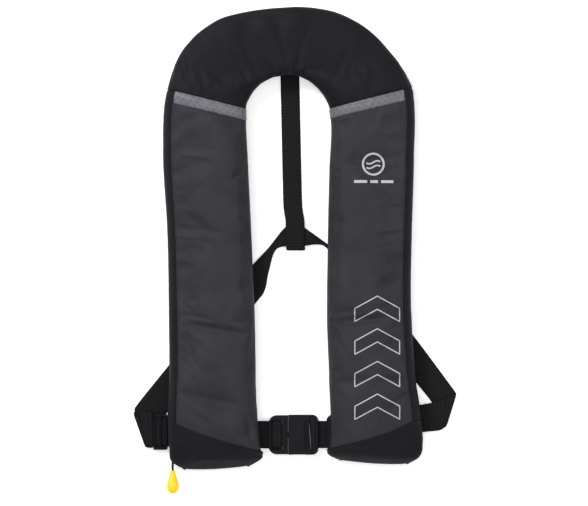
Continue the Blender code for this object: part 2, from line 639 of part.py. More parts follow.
# ---- belts ---------------------------------------------------------------------------
def build_waist_strap():
    """One length of 38 mm webbing: front run, side fold, rear run, side fold, front run."""
    run, rear = BELT_Z, REAR_Z
    mid = (run + rear) / 2
    stations = [
        ((-73, -273, run), (-73, -235, run)),
        ((-150, -271.5, run), (-150, -233.5, run)),
        ((-186, -271.5, run), (-186, -232.5, run)),
        ((-193.0, -272, run), (-208.6, -231, run)),
        ((-194.6, -272.6, run - 0.5), (-210.2, -229.6, run - 0.5)),
        ((-195.2, -272.8, mid), (-210.7, -228.4, mid)),
        ((-194.6, -272.6, rear + 0.5), (-210.2, -226.6, rear + 0.5)),
        ((-193.0, -270, rear), (-208.6, -223.5, rear)),
        ((-185, -250, rear), (-205, -215, rear)),
        ((-119, -168, rear), (-148, -144.5, rear)),
        ((-55, -88.6, rear), (-82, -63, rear)),
        ((-40, -68.5, 1.0), (-54, -32.5, 1.2)),
        ((-34, -42, 1.9), (-35, -12, 2.0)),
        ((-24, -13.5, 2.4), (-13, 15.0, 2.4)),
        ((0, -10.0, 2.4), (-2, 16.0, 2.4)),
        ((12, -9.5, 2.4), (9, 16.5, 2.4)),
        ((31, -7.5, 1.9), (27, 4.5, 3.2)),
        ((42.5, -13.5, 1.3), (45, -8.5, 3.8)),
        ((62, -42, 0.9), (76, -28, 2.4)),
        ((92, -98, rear), (116, -80, 0.9)),
        ((128, -150, rear), (157, -129.5, rear)),
        ((179.4, -214.4, rear), (204.5, -193.0, rear)),
        ((195.5, -241.0, rear), (208.6, -199.5, rear)),
        ((197.3, -243.6, rear + 0.5), (210.2, -201.0, rear + 0.5)),
        ((197.9, -244.4, mid), (210.7, -202.2, mid)),
        ((197.3, -245.2, run - 0.5), (210.2, -203.4, run - 0.5)),
        ((195.5, -246.6, run), (208.0, -204.0, run)),
        ((188.0, -250.5, run), (184.0, -212.6, run)),
        ((166.0, -253.0, run), (160.0, -217.5, run)),
        ((100.0, -262.5, run), (96.0, -226.5, run)),
        ((60.0, -268.0, run), (58.0, -232.0, run)),
    ]
    ribbon("waist_strap", stations, WEB, "webbing_black")


def build_belt_tunnels():
    """Cloth tunnels on the cover's back that the belt's front runs pass through."""
    low, top = 2.15, 4.55
    ribbon("right_belt_tunnel", [((-128, y, z), (-86, y, z)) for y, z in
                                 ((-278, top), (-276.5, low), (-229, low), (-227.5, top))],
           0.7, "cover_black")
    ribbon("left_belt_tunnel", [((86, y - 1.8, z), (128, y + 4.2, z)) for y, z in
                                ((-271.5, top), (-270, low), (-218, low), (-216.5, top))],
           0.7, "cover_black")


def build_back_strap():
    """25 mm strap from the collar down to a sewn loop round the belt."""
    half = 12.4
    path = [(-6.9, 238, 1.0), (-6.5, 205, 1.0), (-3.4, 60, 1.0), (-2.0, 36, 2.4),
            (0.0, 22, 4.2), (0.6, -6, 4.2), (0.8, -12.4, 3.8), (0.8, -14.6, 2.4),
            (0.8, -12.4, 0.9), (0.6, -6, 0.72), (0.0, 19, 0.72)]
    ribbon("back_strap", [((x - half, y, z), (x + half, y, z)) for x, y, z in path],
           WEB, "webbing_black")


def build_side_adjuster():
    """Three-bar adjuster that holds the belt's spare end on the run at -X."""
    (left_x, right_x), (bottom_y, top_y) = ADJUSTER_X, ADJUSTER_Y
    body = block("side_adjuster", (left_x, bottom_y, 1.75), (right_x, top_y, 6.4),
                 "buckle_plastic")
    bevel(body, 0.8, 1)
    cut(body,
        block("adjuster_web_tool", (left_x - 5, bottom_y + 3.0, 2.65),
              (right_x + 6, top_y - 2.8, 4.75), None, CUTTERS),
        block("adjuster_under_tool", (left_x - 5, bottom_y + 6.0, 0.5),
              (right_x + 6, top_y - 6.0, 4.0), None, CUTTERS),
        block("adjuster_slot_a_tool", (-182.6, bottom_y + 3.2, 4.0), (-177.2, top_y - 3.0, 9),
              None, CUTTERS),
        block("adjuster_slot_b_tool", (-174.2, bottom_y + 3.2, 4.0), (-169.0, top_y - 3.0, 9),
              None, CUTTERS))
    ribbon("belt_tail", [((x, -273, z), (x, -226.5, z)) for x, z in
                         ((-185.6, 5.5), (-203.8, 5.5))], WEB, "webbing_black")


# ---- buckle --------------------------------------------------------------------------
def rounded_plan(name, xs, ys, zs, radius, mat, corners):
    """Plate between two corners with its named plan corners rounded."""
    obj = block(name, (xs[0], ys[0], zs[0]), (xs[1], ys[1], zs[1]), mat)
    bm = bmesh.new()
    bm.from_mesh(obj.data)
    sides = {"left": -1, "right": 1}
    chosen = []
    for edge in bm.edges:
        a, b = (v.co for v in edge.verts)
        upright = abs(a.z - b.z) > 1e-6 and abs(a.x - b.x) + abs(a.y - b.y) < 1e-6
        if upright and a.x * sides[corners] > 0:
            chosen.append(edge)
    bmesh.ops.bevel(bm, geom=chosen, offset=radius * MM, segments=5, profile=0.5,
                    affect="EDGES")
    bm.to_mesh(obj.data)
    bm.free()
    return obj


def build_buckle():
    """Side-release buckle: housing, tongue with its webbing bars, and two spring arms."""
    y, half = BUCKLE_Y, BUCKLE_HALF
    inside = half - 3.7
    female = rounded_plan("buckle_female", (-8.7, 30.6), (y - half, y + half), (0.2, 10.8),
                          8.0, "buckle_plastic", "right")
    bevel(female, 1.2)
    windows = []
    for sign in (-1, 1):
        low, high = sorted((y + sign * (half - 5.5), y + sign * (half + 4.5)))
        windows.append(block("window_tool", (-3, low, 2.6), (14.5, high, 8.4), None, CUTTERS))
    cut(female,
        block("housing_tool", (-12, y - inside, 2.3), (16, y + inside, 8.7), None, CUTTERS),
        block("web_slot_tool", (17.8, y - 20.0, 1.2), (34, y + 20.0, 8.0), None, CUTTERS),
        cylinder("bar_tool", (22.6, y - 22.4, 4.6), (22.6, y + 22.4, 4.6), 1.75, None,
                 CUTTERS, 16), *windows)
    cylinder("female_web_bar", (22.6, y - 22.0, 4.6), (22.6, y + 22.0, 4.6), 1.35, "steel",
             None, 16)
    path = [(56, BELT_Z), (34, 3.4), (29, 2.15), (22.6, 2.15), (20.4, 2.9), (19.4, 4.6),
            (20.4, 6.3), (22.6, 7.0), (29, 7.0)]
    ribbon("female_webbing", [((x, y - 17.6, z), (x, y + 18.0, z)) for x, z in path],
           WEB, "webbing_black")

    male = rounded_plan("buckle_male", (-35.4, -9.3), (y - half + 0.6, y + half - 0.6),
                        (0.4, 10.4), 7.0, "buckle_plastic", "left")
    bevel(male, 1.0)
    tongue = block("tongue_tool", (-12, y - 3.5, 3.6), (13.5, y + 3.5, 7.4), None, CUTTERS)
    cut(male, tongue, operation="UNION")
    slot = 19.4
    cut(male,
        block("male_end_tool", (-45, y - 30, 6.8), (-30.2, y + 30, 20), None, CUTTERS),
        block("male_under_tool", (-45, y - slot, -3), (-15.6, y + slot, 4.3), None, CUTTERS),
        block("male_slot_a_tool", (-31.2, y - slot, -3), (-28.6, y + slot, 20), None, CUTTERS),
        block("male_slot_b_tool", (-18.9, y - slot, -3), (-15.6, y + slot, 20), None, CUTTERS),
        block("male_over_tool", (-29, y - slot, 6.7), (-18, y + slot, 20), None, CUTTERS))
    path = [(-61, BELT_Z), (-40, 3.3), (-34, 3.1), (-18.4, 3.1), (-17.3, 3.8), (-17.1, 5.2),
            (-17.3, 7.0), (-18.6, 7.8), (-28.4, 7.8), (-29.7, 7.0), (-29.9, 5.2)]
    ribbon("male_webbing", [((x, y - 18.0, z), (x, y + 18.0, z)) for x, z in path],
           WEB, "webbing_black")
    for name, sign in (("buckle_arm_upper", 1), ("buckle_arm_lower", -1)):
        outline = [(-8.5, 17.1), (9.5, 15.9), (13.4, 18.0), (13.4, 21.9), (11.8, 24.9),
                   (7.4, 25.3), (0.4, 21.7), (-0.6, 19.7), (-8.5, 19.9)]
        build_arm(name, [(x, y + sign * off) for x, off in outline], sign)


def build_arm(name, outline, sign):
    points = outline if sign > 0 else list(reversed(outline))
    count = len(points)
    verts = [(x, y, z) for z in (2.9, 8.1) for x, y in points]
    faces = [tuple(reversed(range(count))), tuple(range(count, 2 * count))]
    for i in range(count):
        j = (i + 1) % count
        faces.append((i, j, j + count, i + count))
    bevel(mesh_object(name, verts, faces, "buckle_plastic"), 0.4, 1)


# ---- joints --------------------------------------------------------------------------
def hang(name, point, pieces):
    """Parent a moving body's pieces to an empty on its joint's axis."""
    empty = bpy.data.objects.new(f"{name}_joint", None)
    empty.location = Vector(point) * MM
    PARTS.objects.link(empty)
    for piece in pieces:
        obj = bpy.data.objects[piece]
        obj.parent = empty
        obj.matrix_parent_inverse = Matrix.Translation(-empty.location)


def hang_moving_bodies():
    flap = ("front_panel", "side_gusset", "hem_panel", "reflective_tape", "hook_strip")
    hang("right_flap", HINGE_A, [f"right_{name}" for name in flap])
    hang("left_flap", HINGE_B, [f"left_{name}" for name in flap])
    hang("lever", LEVER_PIVOT, ["inflator_lever", "safety_clip"])
    hang("pull_handle", CORD_ROUTE[0], ["pull_cord", "cord_knot", "pull_toggle"])
    hang("piercer", (INF_X, BODY_Y[1], CYL_Z), ["piercing_pin"])
    hang("gas_cylinder", (INF_X, BODY_Y[1], CYL_Z), ["co2_cylinder"])
    hang("automatic_head", (INF_X, BODY_Y[0], CAP_Z), ["auto_cap", "auto_bobbin"])
    hang("dust_cap", (ORAL_X, ORAL_TUBE_END_Y, ORAL_Z), ["oral_dust_cap"])
    hang("oral_valve", (ORAL_X, ORAL_TUBE_END_Y, ORAL_Z), ["oral_valve_poppet"])
    hang("whistle", WHISTLE, ["whistle"])
    hang("buckle_tongue", (ARM_ROOT_X, BUCKLE_Y, ARM_Z), ["buckle_male", "male_webbing"])
    for side, sign in (("upper", 1), ("lower", -1)):
        root = (ARM_ROOT_X, BUCKLE_Y + sign * ARM_ROOT_Y, ARM_Z)
        hang(f"arm_{side}", root, [f"buckle_arm_{side}"])
    hang("adjuster", (sum(ADJUSTER_X) / 2, sum(ADJUSTER_Y) / 2, BELT_Z),
         ["side_adjuster", "belt_tail"])


clear_scene()
PARTS = make_collection(COLLECTION)
CUTTERS = make_collection("cutters")
build_cover()
build_bladder()
build_inflator()
build_cord()
build_oral_tube()
build_whistle()
build_lifting_loop()
build_waist_strap()
build_belt_tunnels()
build_back_strap()
build_side_adjuster()
build_buckle()
hang_moving_bodies()
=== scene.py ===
"""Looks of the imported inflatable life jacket, built on its CAD frame.  Metres, +Z up."""
import json
from math import cos, pi, radians, sin, sqrt

import bpy
import numpy as np
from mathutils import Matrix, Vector, noise
from mathutils.bvhtree import BVHTree
from numpy.linalg import norm


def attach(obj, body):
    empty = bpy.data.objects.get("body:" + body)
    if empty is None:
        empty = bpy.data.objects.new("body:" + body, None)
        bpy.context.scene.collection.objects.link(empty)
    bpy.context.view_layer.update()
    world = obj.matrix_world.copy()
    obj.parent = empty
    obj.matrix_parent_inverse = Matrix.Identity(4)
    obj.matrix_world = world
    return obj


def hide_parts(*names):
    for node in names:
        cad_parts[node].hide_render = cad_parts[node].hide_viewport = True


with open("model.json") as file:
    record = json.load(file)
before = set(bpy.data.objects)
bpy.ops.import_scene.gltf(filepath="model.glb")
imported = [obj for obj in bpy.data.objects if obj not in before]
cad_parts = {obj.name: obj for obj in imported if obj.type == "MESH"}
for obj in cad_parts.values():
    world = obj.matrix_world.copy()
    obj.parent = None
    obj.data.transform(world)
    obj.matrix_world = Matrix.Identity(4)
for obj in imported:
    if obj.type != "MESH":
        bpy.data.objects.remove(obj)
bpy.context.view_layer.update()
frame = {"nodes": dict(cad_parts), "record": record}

MM = 0.001
UP = np.array((0, 0, 1.0))
ACROSS = np.array((1.0, 0, 0))

# ---- the horseshoe: the CAD's outlines, with the hems' corners eased by up to 1 mm ----
# neck-side outline x, y;  outer outline x, y;  crown height;  lift of the outer edge (mm)
STATIONS = np.array([
    (-58, -295.5, -146, -299.5, 12, 1.5),
    (-45.5, -288, -159.5, -291.5, 25, 7),
    (-42, -279.5, -163.5, -272, 34, 6.5),
    (-45.2, -271.5, -165.5, -234, 43, 1.5),
    (-49.5, -215, -163.8, -190, 47, 0),
    (-51.6, -119, -163.8, -105, 47, 0),
    (-56, -2, -166, 11, 47, 0),
    (-61, 102, -171.5, 115, 46, 0),
    (-63.7, 153.4, -169, 178, 45, 0),
    (-63.9, 168, -166, 193, 44.5, 0),
    (-59.2, 183, -153.4, 232, 43, 0),
    (-49.4, 196.6, -133, 260, 42, 0),
    (-35, 207, -100, 284.5, 41, 0),
    (-20, 211.5, -54, 296, 40, 0),
    (-7, 212.5, -4, 301, 40, 0),
    (7, 210.5, 48, 295.5, 40, 0),
    (21.6, 202.4, 88, 276.5, 41, 0),
    (34.3, 189.5, 120, 247, 42, 0),
    (41.5, 178, 143, 216, 43, 0),
    (45, 168.2, 152.5, 195.5, 44.5, 0),
    (46.4, 155.6, 154.5, 181.5, 45, 0),
    (44.4, 90, 154.6, 104, 46, 0),
    (42.2, -10, 151.8, 4, 47, 0),
    (41.6, -106, 151, -93, 47, 0),
    (44, -180, 156.5, -178, 47, 0),
    (45.5, -268.5, 164, -238, 43, 1.5),
    (42, -275.5, 166, -269, 34, 3),
    (45.5, -282.5, 161, -285, 25, 3),
    (57, -287.5, 149, -292, 12, 1.5),
])
HEM_A, TAPE_A, TOP_A = 3, 8, 9
CENTRE = 14
TOP_B, TAPE_B, HEM_B = 19, 20, 25
LAST = len(STATIONS) - 1
EDGE_Z, BELLY_Z = 6.9, 20.0
TUCK_IN, TUCK_OUT = 6.0, 4.0
SEAM_GUSSET, SIDE_BAND = 0.715, 0.12
CLOTH_T = 1.1               # cloth thickness shown, mm
CELL = 5.0                  # simulated cloth grid, mm
PUCKER = 31.0               # distance between the puckers along a gusset seam, mm
WEB_T = 1.5                 # webbing thickness, mm
THIN_TOP = 13.0             # folded bladder under the inflator and the oral tube
THREAD_GAP = 0.0011         # weave of the cover cloth, metres
STITCH, STITCH_GAP, THREAD_R = 2.6, 1.5, 0.28
BUCKLE_Y, BUCKLE_HALF = -256.0, 26.0

# bands across the girth: share of the girth at each band's start and end, and its cells
BANDS = [(0.0, SIDE_BAND, 4), (SIDE_BAND, SEAM_GUSSET, 24),
         (SEAM_GUSSET, 1 - SIDE_BAND, 5), (1 - SIDE_BAND, 1.0, 4)]
GUSSET_COLUMN = BANDS[0][2] + BANDS[1][2]
BELLY_COLUMN = BANDS[0][2]
GUSSET, BELLY = 2 * GUSSET_COLUMN, 2 * BELLY_COLUMN     # the same on the refined grid


def unit(vectors):
    """The same directions with length one, along the last axis."""
    return vectors / np.maximum(norm(vectors, axis=-1, keepdims=True), 1e-9)


def bell(x, width, power=2):
    """One at x = 0, falling off smoothly over this width."""
    return np.exp(-(x / width) ** power)


def run_of(points):
    """Running length along a line of points."""
    return np.concatenate([[0], np.cumsum(norm(np.diff(points, axis=0), axis=1))])


def split_marks(gaps, size):
    """Row numbers that cut each gap into two or more cells of about one size."""
    marks = []
    for i, gap in enumerate(gaps):
        cells = max(2, round(gap / size))
        marks += [i + k / cells for k in range(cells)]
    return np.array(marks + [len(gaps)])


def smooth(values, u, knots=None):
    """Smooth values at row numbers u, through the rows of values."""
    values = np.asarray(values, float)
    u = np.atleast_1d(np.asarray(u, float))
    knots = np.arange(len(values), dtype=float) if knots is None else knots
    steps = np.diff(knots)[:, None]
    rates = np.diff(values, axis=0) / steps
    inner = (rates[:-1] * steps[1:] + rates[1:] * steps[:-1]) / (steps[:-1] + steps[1:])
    slopes = np.vstack([rates[:1], inner, rates[-1:]])
    i = np.clip(np.floor(u).astype(int), 0, len(values) - 2)
    t = (u - i)[:, None]
    return (values[i] * (2 * t ** 3 - 3 * t ** 2 + 1)
            + values[i + 1] * (3 * t ** 2 - 2 * t ** 3)
            + steps[i] * slopes[i] * (t ** 3 - 2 * t ** 2 + t)
            + steps[i] * slopes[i + 1] * (t ** 3 - t ** 2))


KNOTS = run_of((STATIONS[:, 0:2] + STATIONS[:, 2:4]) / 2)
ROWS = split_marks(np.diff(KNOTS), CELL)


def outline(marks):
    """At each mark: neck-side point, direction across, width, crown and lift."""
    for mark, (ix, iy, ox, oy, crown, lift) in zip(marks, smooth(STATIONS, marks, KNOTS)):
        inner, away = np.array([ix, iy]), np.array([ox - ix, oy - iy])
        width = norm(away)
        yield mark, inner, away / width, width, crown, lift


def section(v, width, crown, lift):
    """Distances from the neck-side outline and heights at shares v of the girth."""
    belly = min(BELLY_Z, EDGE_Z + 0.45 * (crown - EDGE_Z))
    t_in = np.clip(v / SIDE_BAND, 0, 1)
    t_out = np.clip((1 - v) / SIDE_BAND, 0, 1)
    low = EDGE_Z + lift
    high = max(belly, low + 1)
    angle = pi * np.clip((v - SIDE_BAND) / (1 - 2 * SIDE_BAND), 0, 1)
    side = -np.cos(angle)
    reach = np.abs(side) ** 0.85 * np.sign(side)
    base = belly + np.where(side > 0, (high - belly) * reach, 0)
    s = width * 0.5 * (1 + reach)
    z = base + (crown - base) * np.sin(angle) ** 0.75
    s = np.where(v < SIDE_BAND, TUCK_IN * (1 - t_in) ** 1.5, s)
    z = np.where(v < SIDE_BAND, EDGE_Z + (belly - EDGE_Z) * t_in, z)
    s = np.where(v > 1 - SIDE_BAND, width - TUCK_OUT * (1 - t_out) ** 1.5, s)
    z = np.where(v > 1 - SIDE_BAND, low + (high - low) * t_out, z)
    return s, z


def even_section(width, crown, lift):
    """The section's columns, evenly spaced along the girth inside each band."""
    out = []
    for start, end, cells in BANDS:
        line = np.stack(section(np.linspace(start, end, 80), width, crown, lift), 1)
        run = run_of(line)
        marks = np.linspace(0, run[-1], cells + 1)[1 if out else 0:]
        out.append(np.stack([np.interp(marks, run, line[:, k]) for k in (0, 1)], 1))
    return np.concatenate(out)


def cover_grid():
    """Points of the front cover: rows along the horseshoe, columns across it (mm)."""
    grid = []
    for _, inner, away, width, crown, lift in outline(ROWS):
        sz = even_section(width, crown, max(lift, 0))
        grid.append(np.column_stack([inner + away * sz[:, :1], sz[:, 1]]))
    return np.array(grid)


# ---- meshes ----
def new_object(name, verts, faces, mat=None, uvs=None):
    """Mesh object from points in mm; uvs are given for each vertex, in mm."""
    mesh = bpy.data.meshes.new(name)
    mesh.from_pydata((np.asarray(verts, float) * MM).tolist(), [], faces)
    if uvs is not None:
        loops = np.zeros(len(mesh.loops), int)
        mesh.loops.foreach_get("vertex_index", loops)
        layer = mesh.uv_layers.new(name="UVMap")
        layer.data.foreach_set("uv", (np.asarray(uvs, float)[loops] * MM).ravel())
    mesh.polygons.foreach_set("use_smooth", [True] * len(mesh.polygons))
    obj = bpy.data.objects.new(name, mesh)
    bpy.context.scene.collection.objects.link(obj)
    if mat:
        mesh.materials.append(MATERIALS[mat])
    return obj


def grid_faces(rows, columns, closed=False):
    faces = []
    for r in range(rows - 1):
        for c in range(columns if closed else columns - 1):
            d = (c + 1) % columns
            faces.append((r * columns + c, (r + 1) * columns + c,
                          (r + 1) * columns + d, r * columns + d))
    return faces


def skin_faces(count, sides):
    """Faces of a tube of rings, with both ends closed."""
    last = (count - 1) * sides
    return grid_faces(count, sides, closed=True) + [
        tuple(range(sides)), tuple(reversed(range(last, last + sides)))]


def spokes(side, up, sides, wide=1.0, high=1.0):
    """Rings of directions about lines whose cross axes are side and up."""
    angles = np.linspace(0, 2 * pi, sides + 1)[:-1, None]
    return (side[..., None, :] * (wide * np.cos(angles))
            + up[..., None, :] * (high * np.sin(angles)))


def uv_grid(across, along):
    """Texture coordinates of a grid, from lengths across and along it in mm."""
    u, v = np.broadcast_arrays(across, along)
    return np.stack([u.ravel(), v.ravel()], 1)


def normals_of(grid):
    return unit(np.cross(np.gradient(grid, axis=0), np.gradient(grid, axis=1)))


def arc_lengths(grid):
    """Running length across and along the grid, for texture coordinates."""
    across = norm(np.diff(grid, axis=1), axis=2)
    u = np.concatenate([np.zeros((len(grid), 1)), np.cumsum(across, 1)], 1)
    v = run_of(grid[:, grid.shape[1] // 2])
    return u, np.repeat(v[:, None], grid.shape[1], 1)


def refine(grid):
    """The same surface with twice the rows and columns, on smooth curves."""
    for _ in range(2):
        count = len(grid)
        flat = smooth(grid.reshape(count, -1), np.arange(2 * count - 1) / 2)
        grid = flat.reshape(2 * count - 1, -1, 3).transpose(1, 0, 2)
    return grid


def place(obj, body, slot, *nodes):
    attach(obj, body)
    if nodes:
        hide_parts(*nodes)
    return obj


def tube(name, rings, mat, body, nodes=(), uv=None, slot=None):
    """Skin over rings of points (mm), with both ends closed."""
    obj = new_object(name, rings.reshape(-1, 3), skin_faces(*rings.shape[:2]), mat, uv)
    return place(obj, body, slot or mat, *nodes)


# ---- materials ----
class Nodes:
    """Short calls for one material's node tree."""

    def __init__(self, name):
        self.mat = bpy.data.materials.new(name)
        self.mat.use_nodes = True
        self.tree = self.mat.node_tree
        self.shader = self.tree.nodes["Principled BSDF"]

    def feed(self, node, inputs):
        """Give inputs their constants, or link them to the sockets given."""
        for key, value in inputs.items():
            if isinstance(value, bpy.types.NodeSocket):
                self.tree.links.new(value, node.inputs[key])
            else:
                node.inputs[key].default_value = value

    def set(self, **values):
        self.feed(self.shader, {key.replace("_", " "): v for key, v in values.items()})

    def add(self, kind, inputs, output=0, **settings):
        node = self.tree.nodes.new("ShaderNode" + kind)
        for key, value in settings.items():
            setattr(node, key, value)
        self.feed(node, inputs)
        return node.outputs[output]

    def coords(self, kind="Object", scale=(1, 1, 1), rotation=0.0):
        return self.add("Mapping", {"Vector": self.add("TexCoord", {}, kind),
                                    "Scale": scale, "Rotation": (0, 0, rotation)})

    def noise(self, vector, scale, detail=3.0, rough=0.5):
        return self.add("TexNoise", {"Vector": vector, "Scale": scale, "Detail": detail,
                                     "Roughness": rough}, "Fac")

    def wave(self, vector, scale, direction="X", distortion=0.0):
        return self.add("TexWave", {"Vector": vector, "Scale": scale,
                                    "Distortion": distortion}, "Fac",
                        wave_type="BANDS", bands_direction=direction)

    def math(self, operation, a, b):
        return self.add("Math", {0: a, 1: b}, operation=operation)

    def ramp(self, fac, stops):
        colour = self.add("ValToRGB", {"Fac": fac}, "Color")
        for element, (at, tone) in zip(colour.node.color_ramp.elements, stops):
            element.position = at
            element.color = (*tone, 1)
        return colour

    def bump(self, height, distance, strength=1.0):
        inputs = {"Distance": distance, "Strength": strength, "Height": height}
        if self.shader.inputs["Normal"].links:
            inputs["Normal"] = self.shader.inputs["Normal"].links[0].from_socket
        self.set(Normal=self.add("Bump", inputs))

    def surface(self, tone, colour, spread, wear, low, high, *bumps, **values):
        """Shades of one colour, roughness from low to high by wear, then the bumps."""
        stops = [(at, tuple(c * (1 + sign * spread) for c in colour))
                 for at, sign in ((0.3, -1), (0.7, 1))]
        rough = self.add("MapRange", {"Value": wear, "To Min": low, "To Max": high},
                         "Result")
        self.set(Base_Color=self.ramp(tone, stops), Roughness=rough, **values)
        for bump in bumps:
            self.bump(*bump)
        return self.mat


def cloth_material(name, colour, rough=0.6, sheen=0.0):
    """Plain-woven coated polyester: fine weave, faint mottling and a soft sheen."""
    n = Nodes(name)
    uv, spot = n.coords("UV"), n.coords()
    bands = 0.5 / THREAD_GAP / pi
    weave = n.math("MAXIMUM", n.wave(uv, bands, "X"), n.wave(uv, bands, "Y"))
    return n.surface(n.noise(spot, 28, 4), colour, 0.12, n.noise(spot, 90), rough - 0.06,
                     rough + 0.08, (weave, 0.00012, 0.5),
                     (n.noise(spot, 160, 4, 0.6), 0.0004, 0.35), Sheen_Weight=sheen,
                     Sheen_Roughness=0.5, Specular_IOR_Level=0.09)


def webbing_material(name, colour, rib=0.0021):
    """Heavy woven webbing: ribs across the strap, herringbone warp along it."""
    n = Nodes(name)
    ribs = n.wave(n.coords("UV"), 0.5 / rib / pi, "Y", 0.3)
    warp = n.wave(n.coords("UV", rotation=0.5), 0.5 / 0.0016 / pi)
    height = n.math("ADD", ribs, n.math("MULTIPLY", warp, 0.5))
    return n.surface(height, colour, 0.22, n.noise(n.coords(), 120), 0.65, 0.8,
                     (height, 0.0004, 0.8), Specular_IOR_Level=0.08)


def plastic_material(name, colour, rough=0.38, grain=0.00006, scale=900, coat=0.0,
                     spec=0.2):
    """Moulded plastic with a fine spark-eroded grain and faint colour drift."""
    n = Nodes(name)
    spot = n.coords()
    return n.surface(n.noise(spot, 18), colour, 0.07, n.noise(spot, 60, 4), rough - 0.05,
                     rough + 0.07, (n.noise(spot, scale, 2), grain, 0.6),
                     Coat_Weight=coat, Coat_Roughness=0.12, Specular_IOR_Level=spec)


def metal_material(name, colour):
    """Brushed, lightly worn metal."""
    n = Nodes(name)
    brush = n.noise(n.coords(scale=(1, 0.08, 1)), 900)
    return n.surface(n.noise(n.coords(), 35, 4), colour, 0.08, brush, 0.22, 0.42,
                     (brush, 0.00004, 0.5), Metallic=1.0)


def tape_material(name):
    """Glass-bead reflective tape: fine bead grain on a printed cross-hatch."""
    n = Nodes(name)
    beads = n.add("TexVoronoi", {"Scale": 900, "Vector": n.coords("UV")}, "Distance")
    hatch = n.math("MAXIMUM", *(n.wave(n.coords("UV", rotation=turn), 50)
                                for turn in (0.785, -0.785)))
    tone = n.math("ADD", n.math("MULTIPLY", beads, 0.5), n.math("MULTIPLY", hatch, 0.35))
    n.set(Base_Color=n.ramp(tone, [(0.25, (0.098, 0.096, 0.112)),
                                   (0.8, (0.165, 0.161, 0.186))]),
          Roughness=0.5, Specular_IOR_Level=0.3)
    n.bump(beads, 0.0001, 0.5)
    return n.mat


MATERIALS = {
    "cover_grey": cloth_material("grey cover cloth", (0.0300, 0.0288, 0.0345)),
    "cover_black": cloth_material("black cover cloth", (0.0093, 0.0088, 0.0115)),
    "webbing_black": webbing_material("black webbing", (0.0085, 0.0085, 0.0093)),
    "reflective_grey": tape_material("reflective tape"),
    "buckle_plastic": plastic_material("buckle acetal", (0.0085, 0.0085, 0.0115), 0.4,
                                       spec=0.07),
    "bladder_yellow": cloth_material("coated bladder cloth", (0.85, 0.6, 0.02), 0.42, 0.1),
    "toggle_yellow": plastic_material("toggle yellow", (0.95, 0.62, 0.02), 0.25, 0.00003,
                                      500, 0.4),
    "inflator_black": plastic_material("inflator nylon", (0.022, 0.022, 0.024), 0.45),
    "cap_yellow": plastic_material("cap yellow", (0.85, 0.55, 0.02), 0.4),
    "clip_green": plastic_material("clip green", (0.02, 0.36, 0.06), 0.35),
    "steel": metal_material("plated steel", (0.56, 0.56, 0.57)),
    "rubber_black": plastic_material("moulded rubber", (0.016, 0.016, 0.016), 0.7, 0.0001),
    "whistle_orange": plastic_material("whistle orange", (0.85, 0.16, 0.01), 0.3),
    "bobbin_white": plastic_material("bobbin white", (0.75, 0.74, 0.7), 0.6),
    "cord_black": webbing_material("braided cord", (0.016, 0.015, 0.015), 0.0012),
    "thread": plastic_material("seam thread", (0.014, 0.0135, 0.016), 0.7, spec=0.08),
    # painted highlight: pale plastic that stands in for light caught along the buckle lip's
    # edge
    "painted_lip_highlight": plastic_material("acetal with painted lip highlight", (0.17, 0.17, 0.18), 0.35),
    "print": plastic_material("printed ink", (0.45, 0.45, 0.48), 0.5),
}


def dress_frame():
    """CAD nodes that stay in view take their finish from their material slot."""
    for part in frame["record"]["subparts"]:
        node = frame["nodes"][part["node"]]
        for slot in node.material_slots:
            slot.link = "OBJECT"
            slot.material = MATERIALS[part["material_slot"]]


# ---- the cover ----
def simulate_cover(grid):
    """Light air pressure in slack cloth that is sewn down along its seams."""
    rows, columns = grid.shape[:2]
    obj = new_object("cover_cloth", grid.reshape(-1, 3), grid_faces(rows, columns))
    held = np.zeros((rows, columns), bool)
    held[:, [0, -1]] = held[[0, -1]] = True
    held[(ROWS <= TOP_A) | (ROWS >= TOP_B), GUSSET_COLUMN] = True
    for seam in (HEM_A, TAPE_A, TOP_A, TOP_B, TAPE_B, HEM_B):
        held[np.argmin(np.abs(ROWS - seam))] = True
    group = obj.vertex_groups.new(name="sewn")
    group.add([int(i) for i in np.flatnonzero(held.ravel())], 1.0, "REPLACE")
    mod = obj.modifiers.new("cloth", "CLOTH")
    settings = {"quality": 6, "mass": 0.2, "tension_stiffness": 18,
                "compression_stiffness": 18, "shear_stiffness": 6,
                "bending_stiffness": 0.15, "shrink_min": -0.035, "use_pressure": True,
                "uniform_pressure_force": 1.2, "vertex_group_mass": "sewn"}
    for key, value in settings.items():
        setattr(mod.settings, key, value)
    mod.settings.effector_weights.gravity = 0
    mod.collision_settings.use_collision = False
    mod.point_cache.frame_end = 16
    scene = bpy.context.scene
    for number in range(1, 17):
        scene.frame_set(number)
    shown = obj.evaluated_get(bpy.context.evaluated_depsgraph_get()).data
    co = np.zeros(rows * columns * 3)
    shown.vertices.foreach_get("co", co)
    bpy.data.objects.remove(obj, do_unlink=True)
    scene.frame_set(1)
    return co.reshape(rows, columns, 3) / MM


def capped(base, moved, cap):
    step = moved - base
    length = np.maximum(norm(step, axis=2, keepdims=True), 1e-9)
    return base + step * np.minimum(1, cap / length)


def noise_field(a, b, seed=0.0):
    out = np.zeros(a.shape)
    for index in np.ndindex(a.shape):
        out[index] = noise.noise(Vector((a[index], b[index], seed)))
    return out


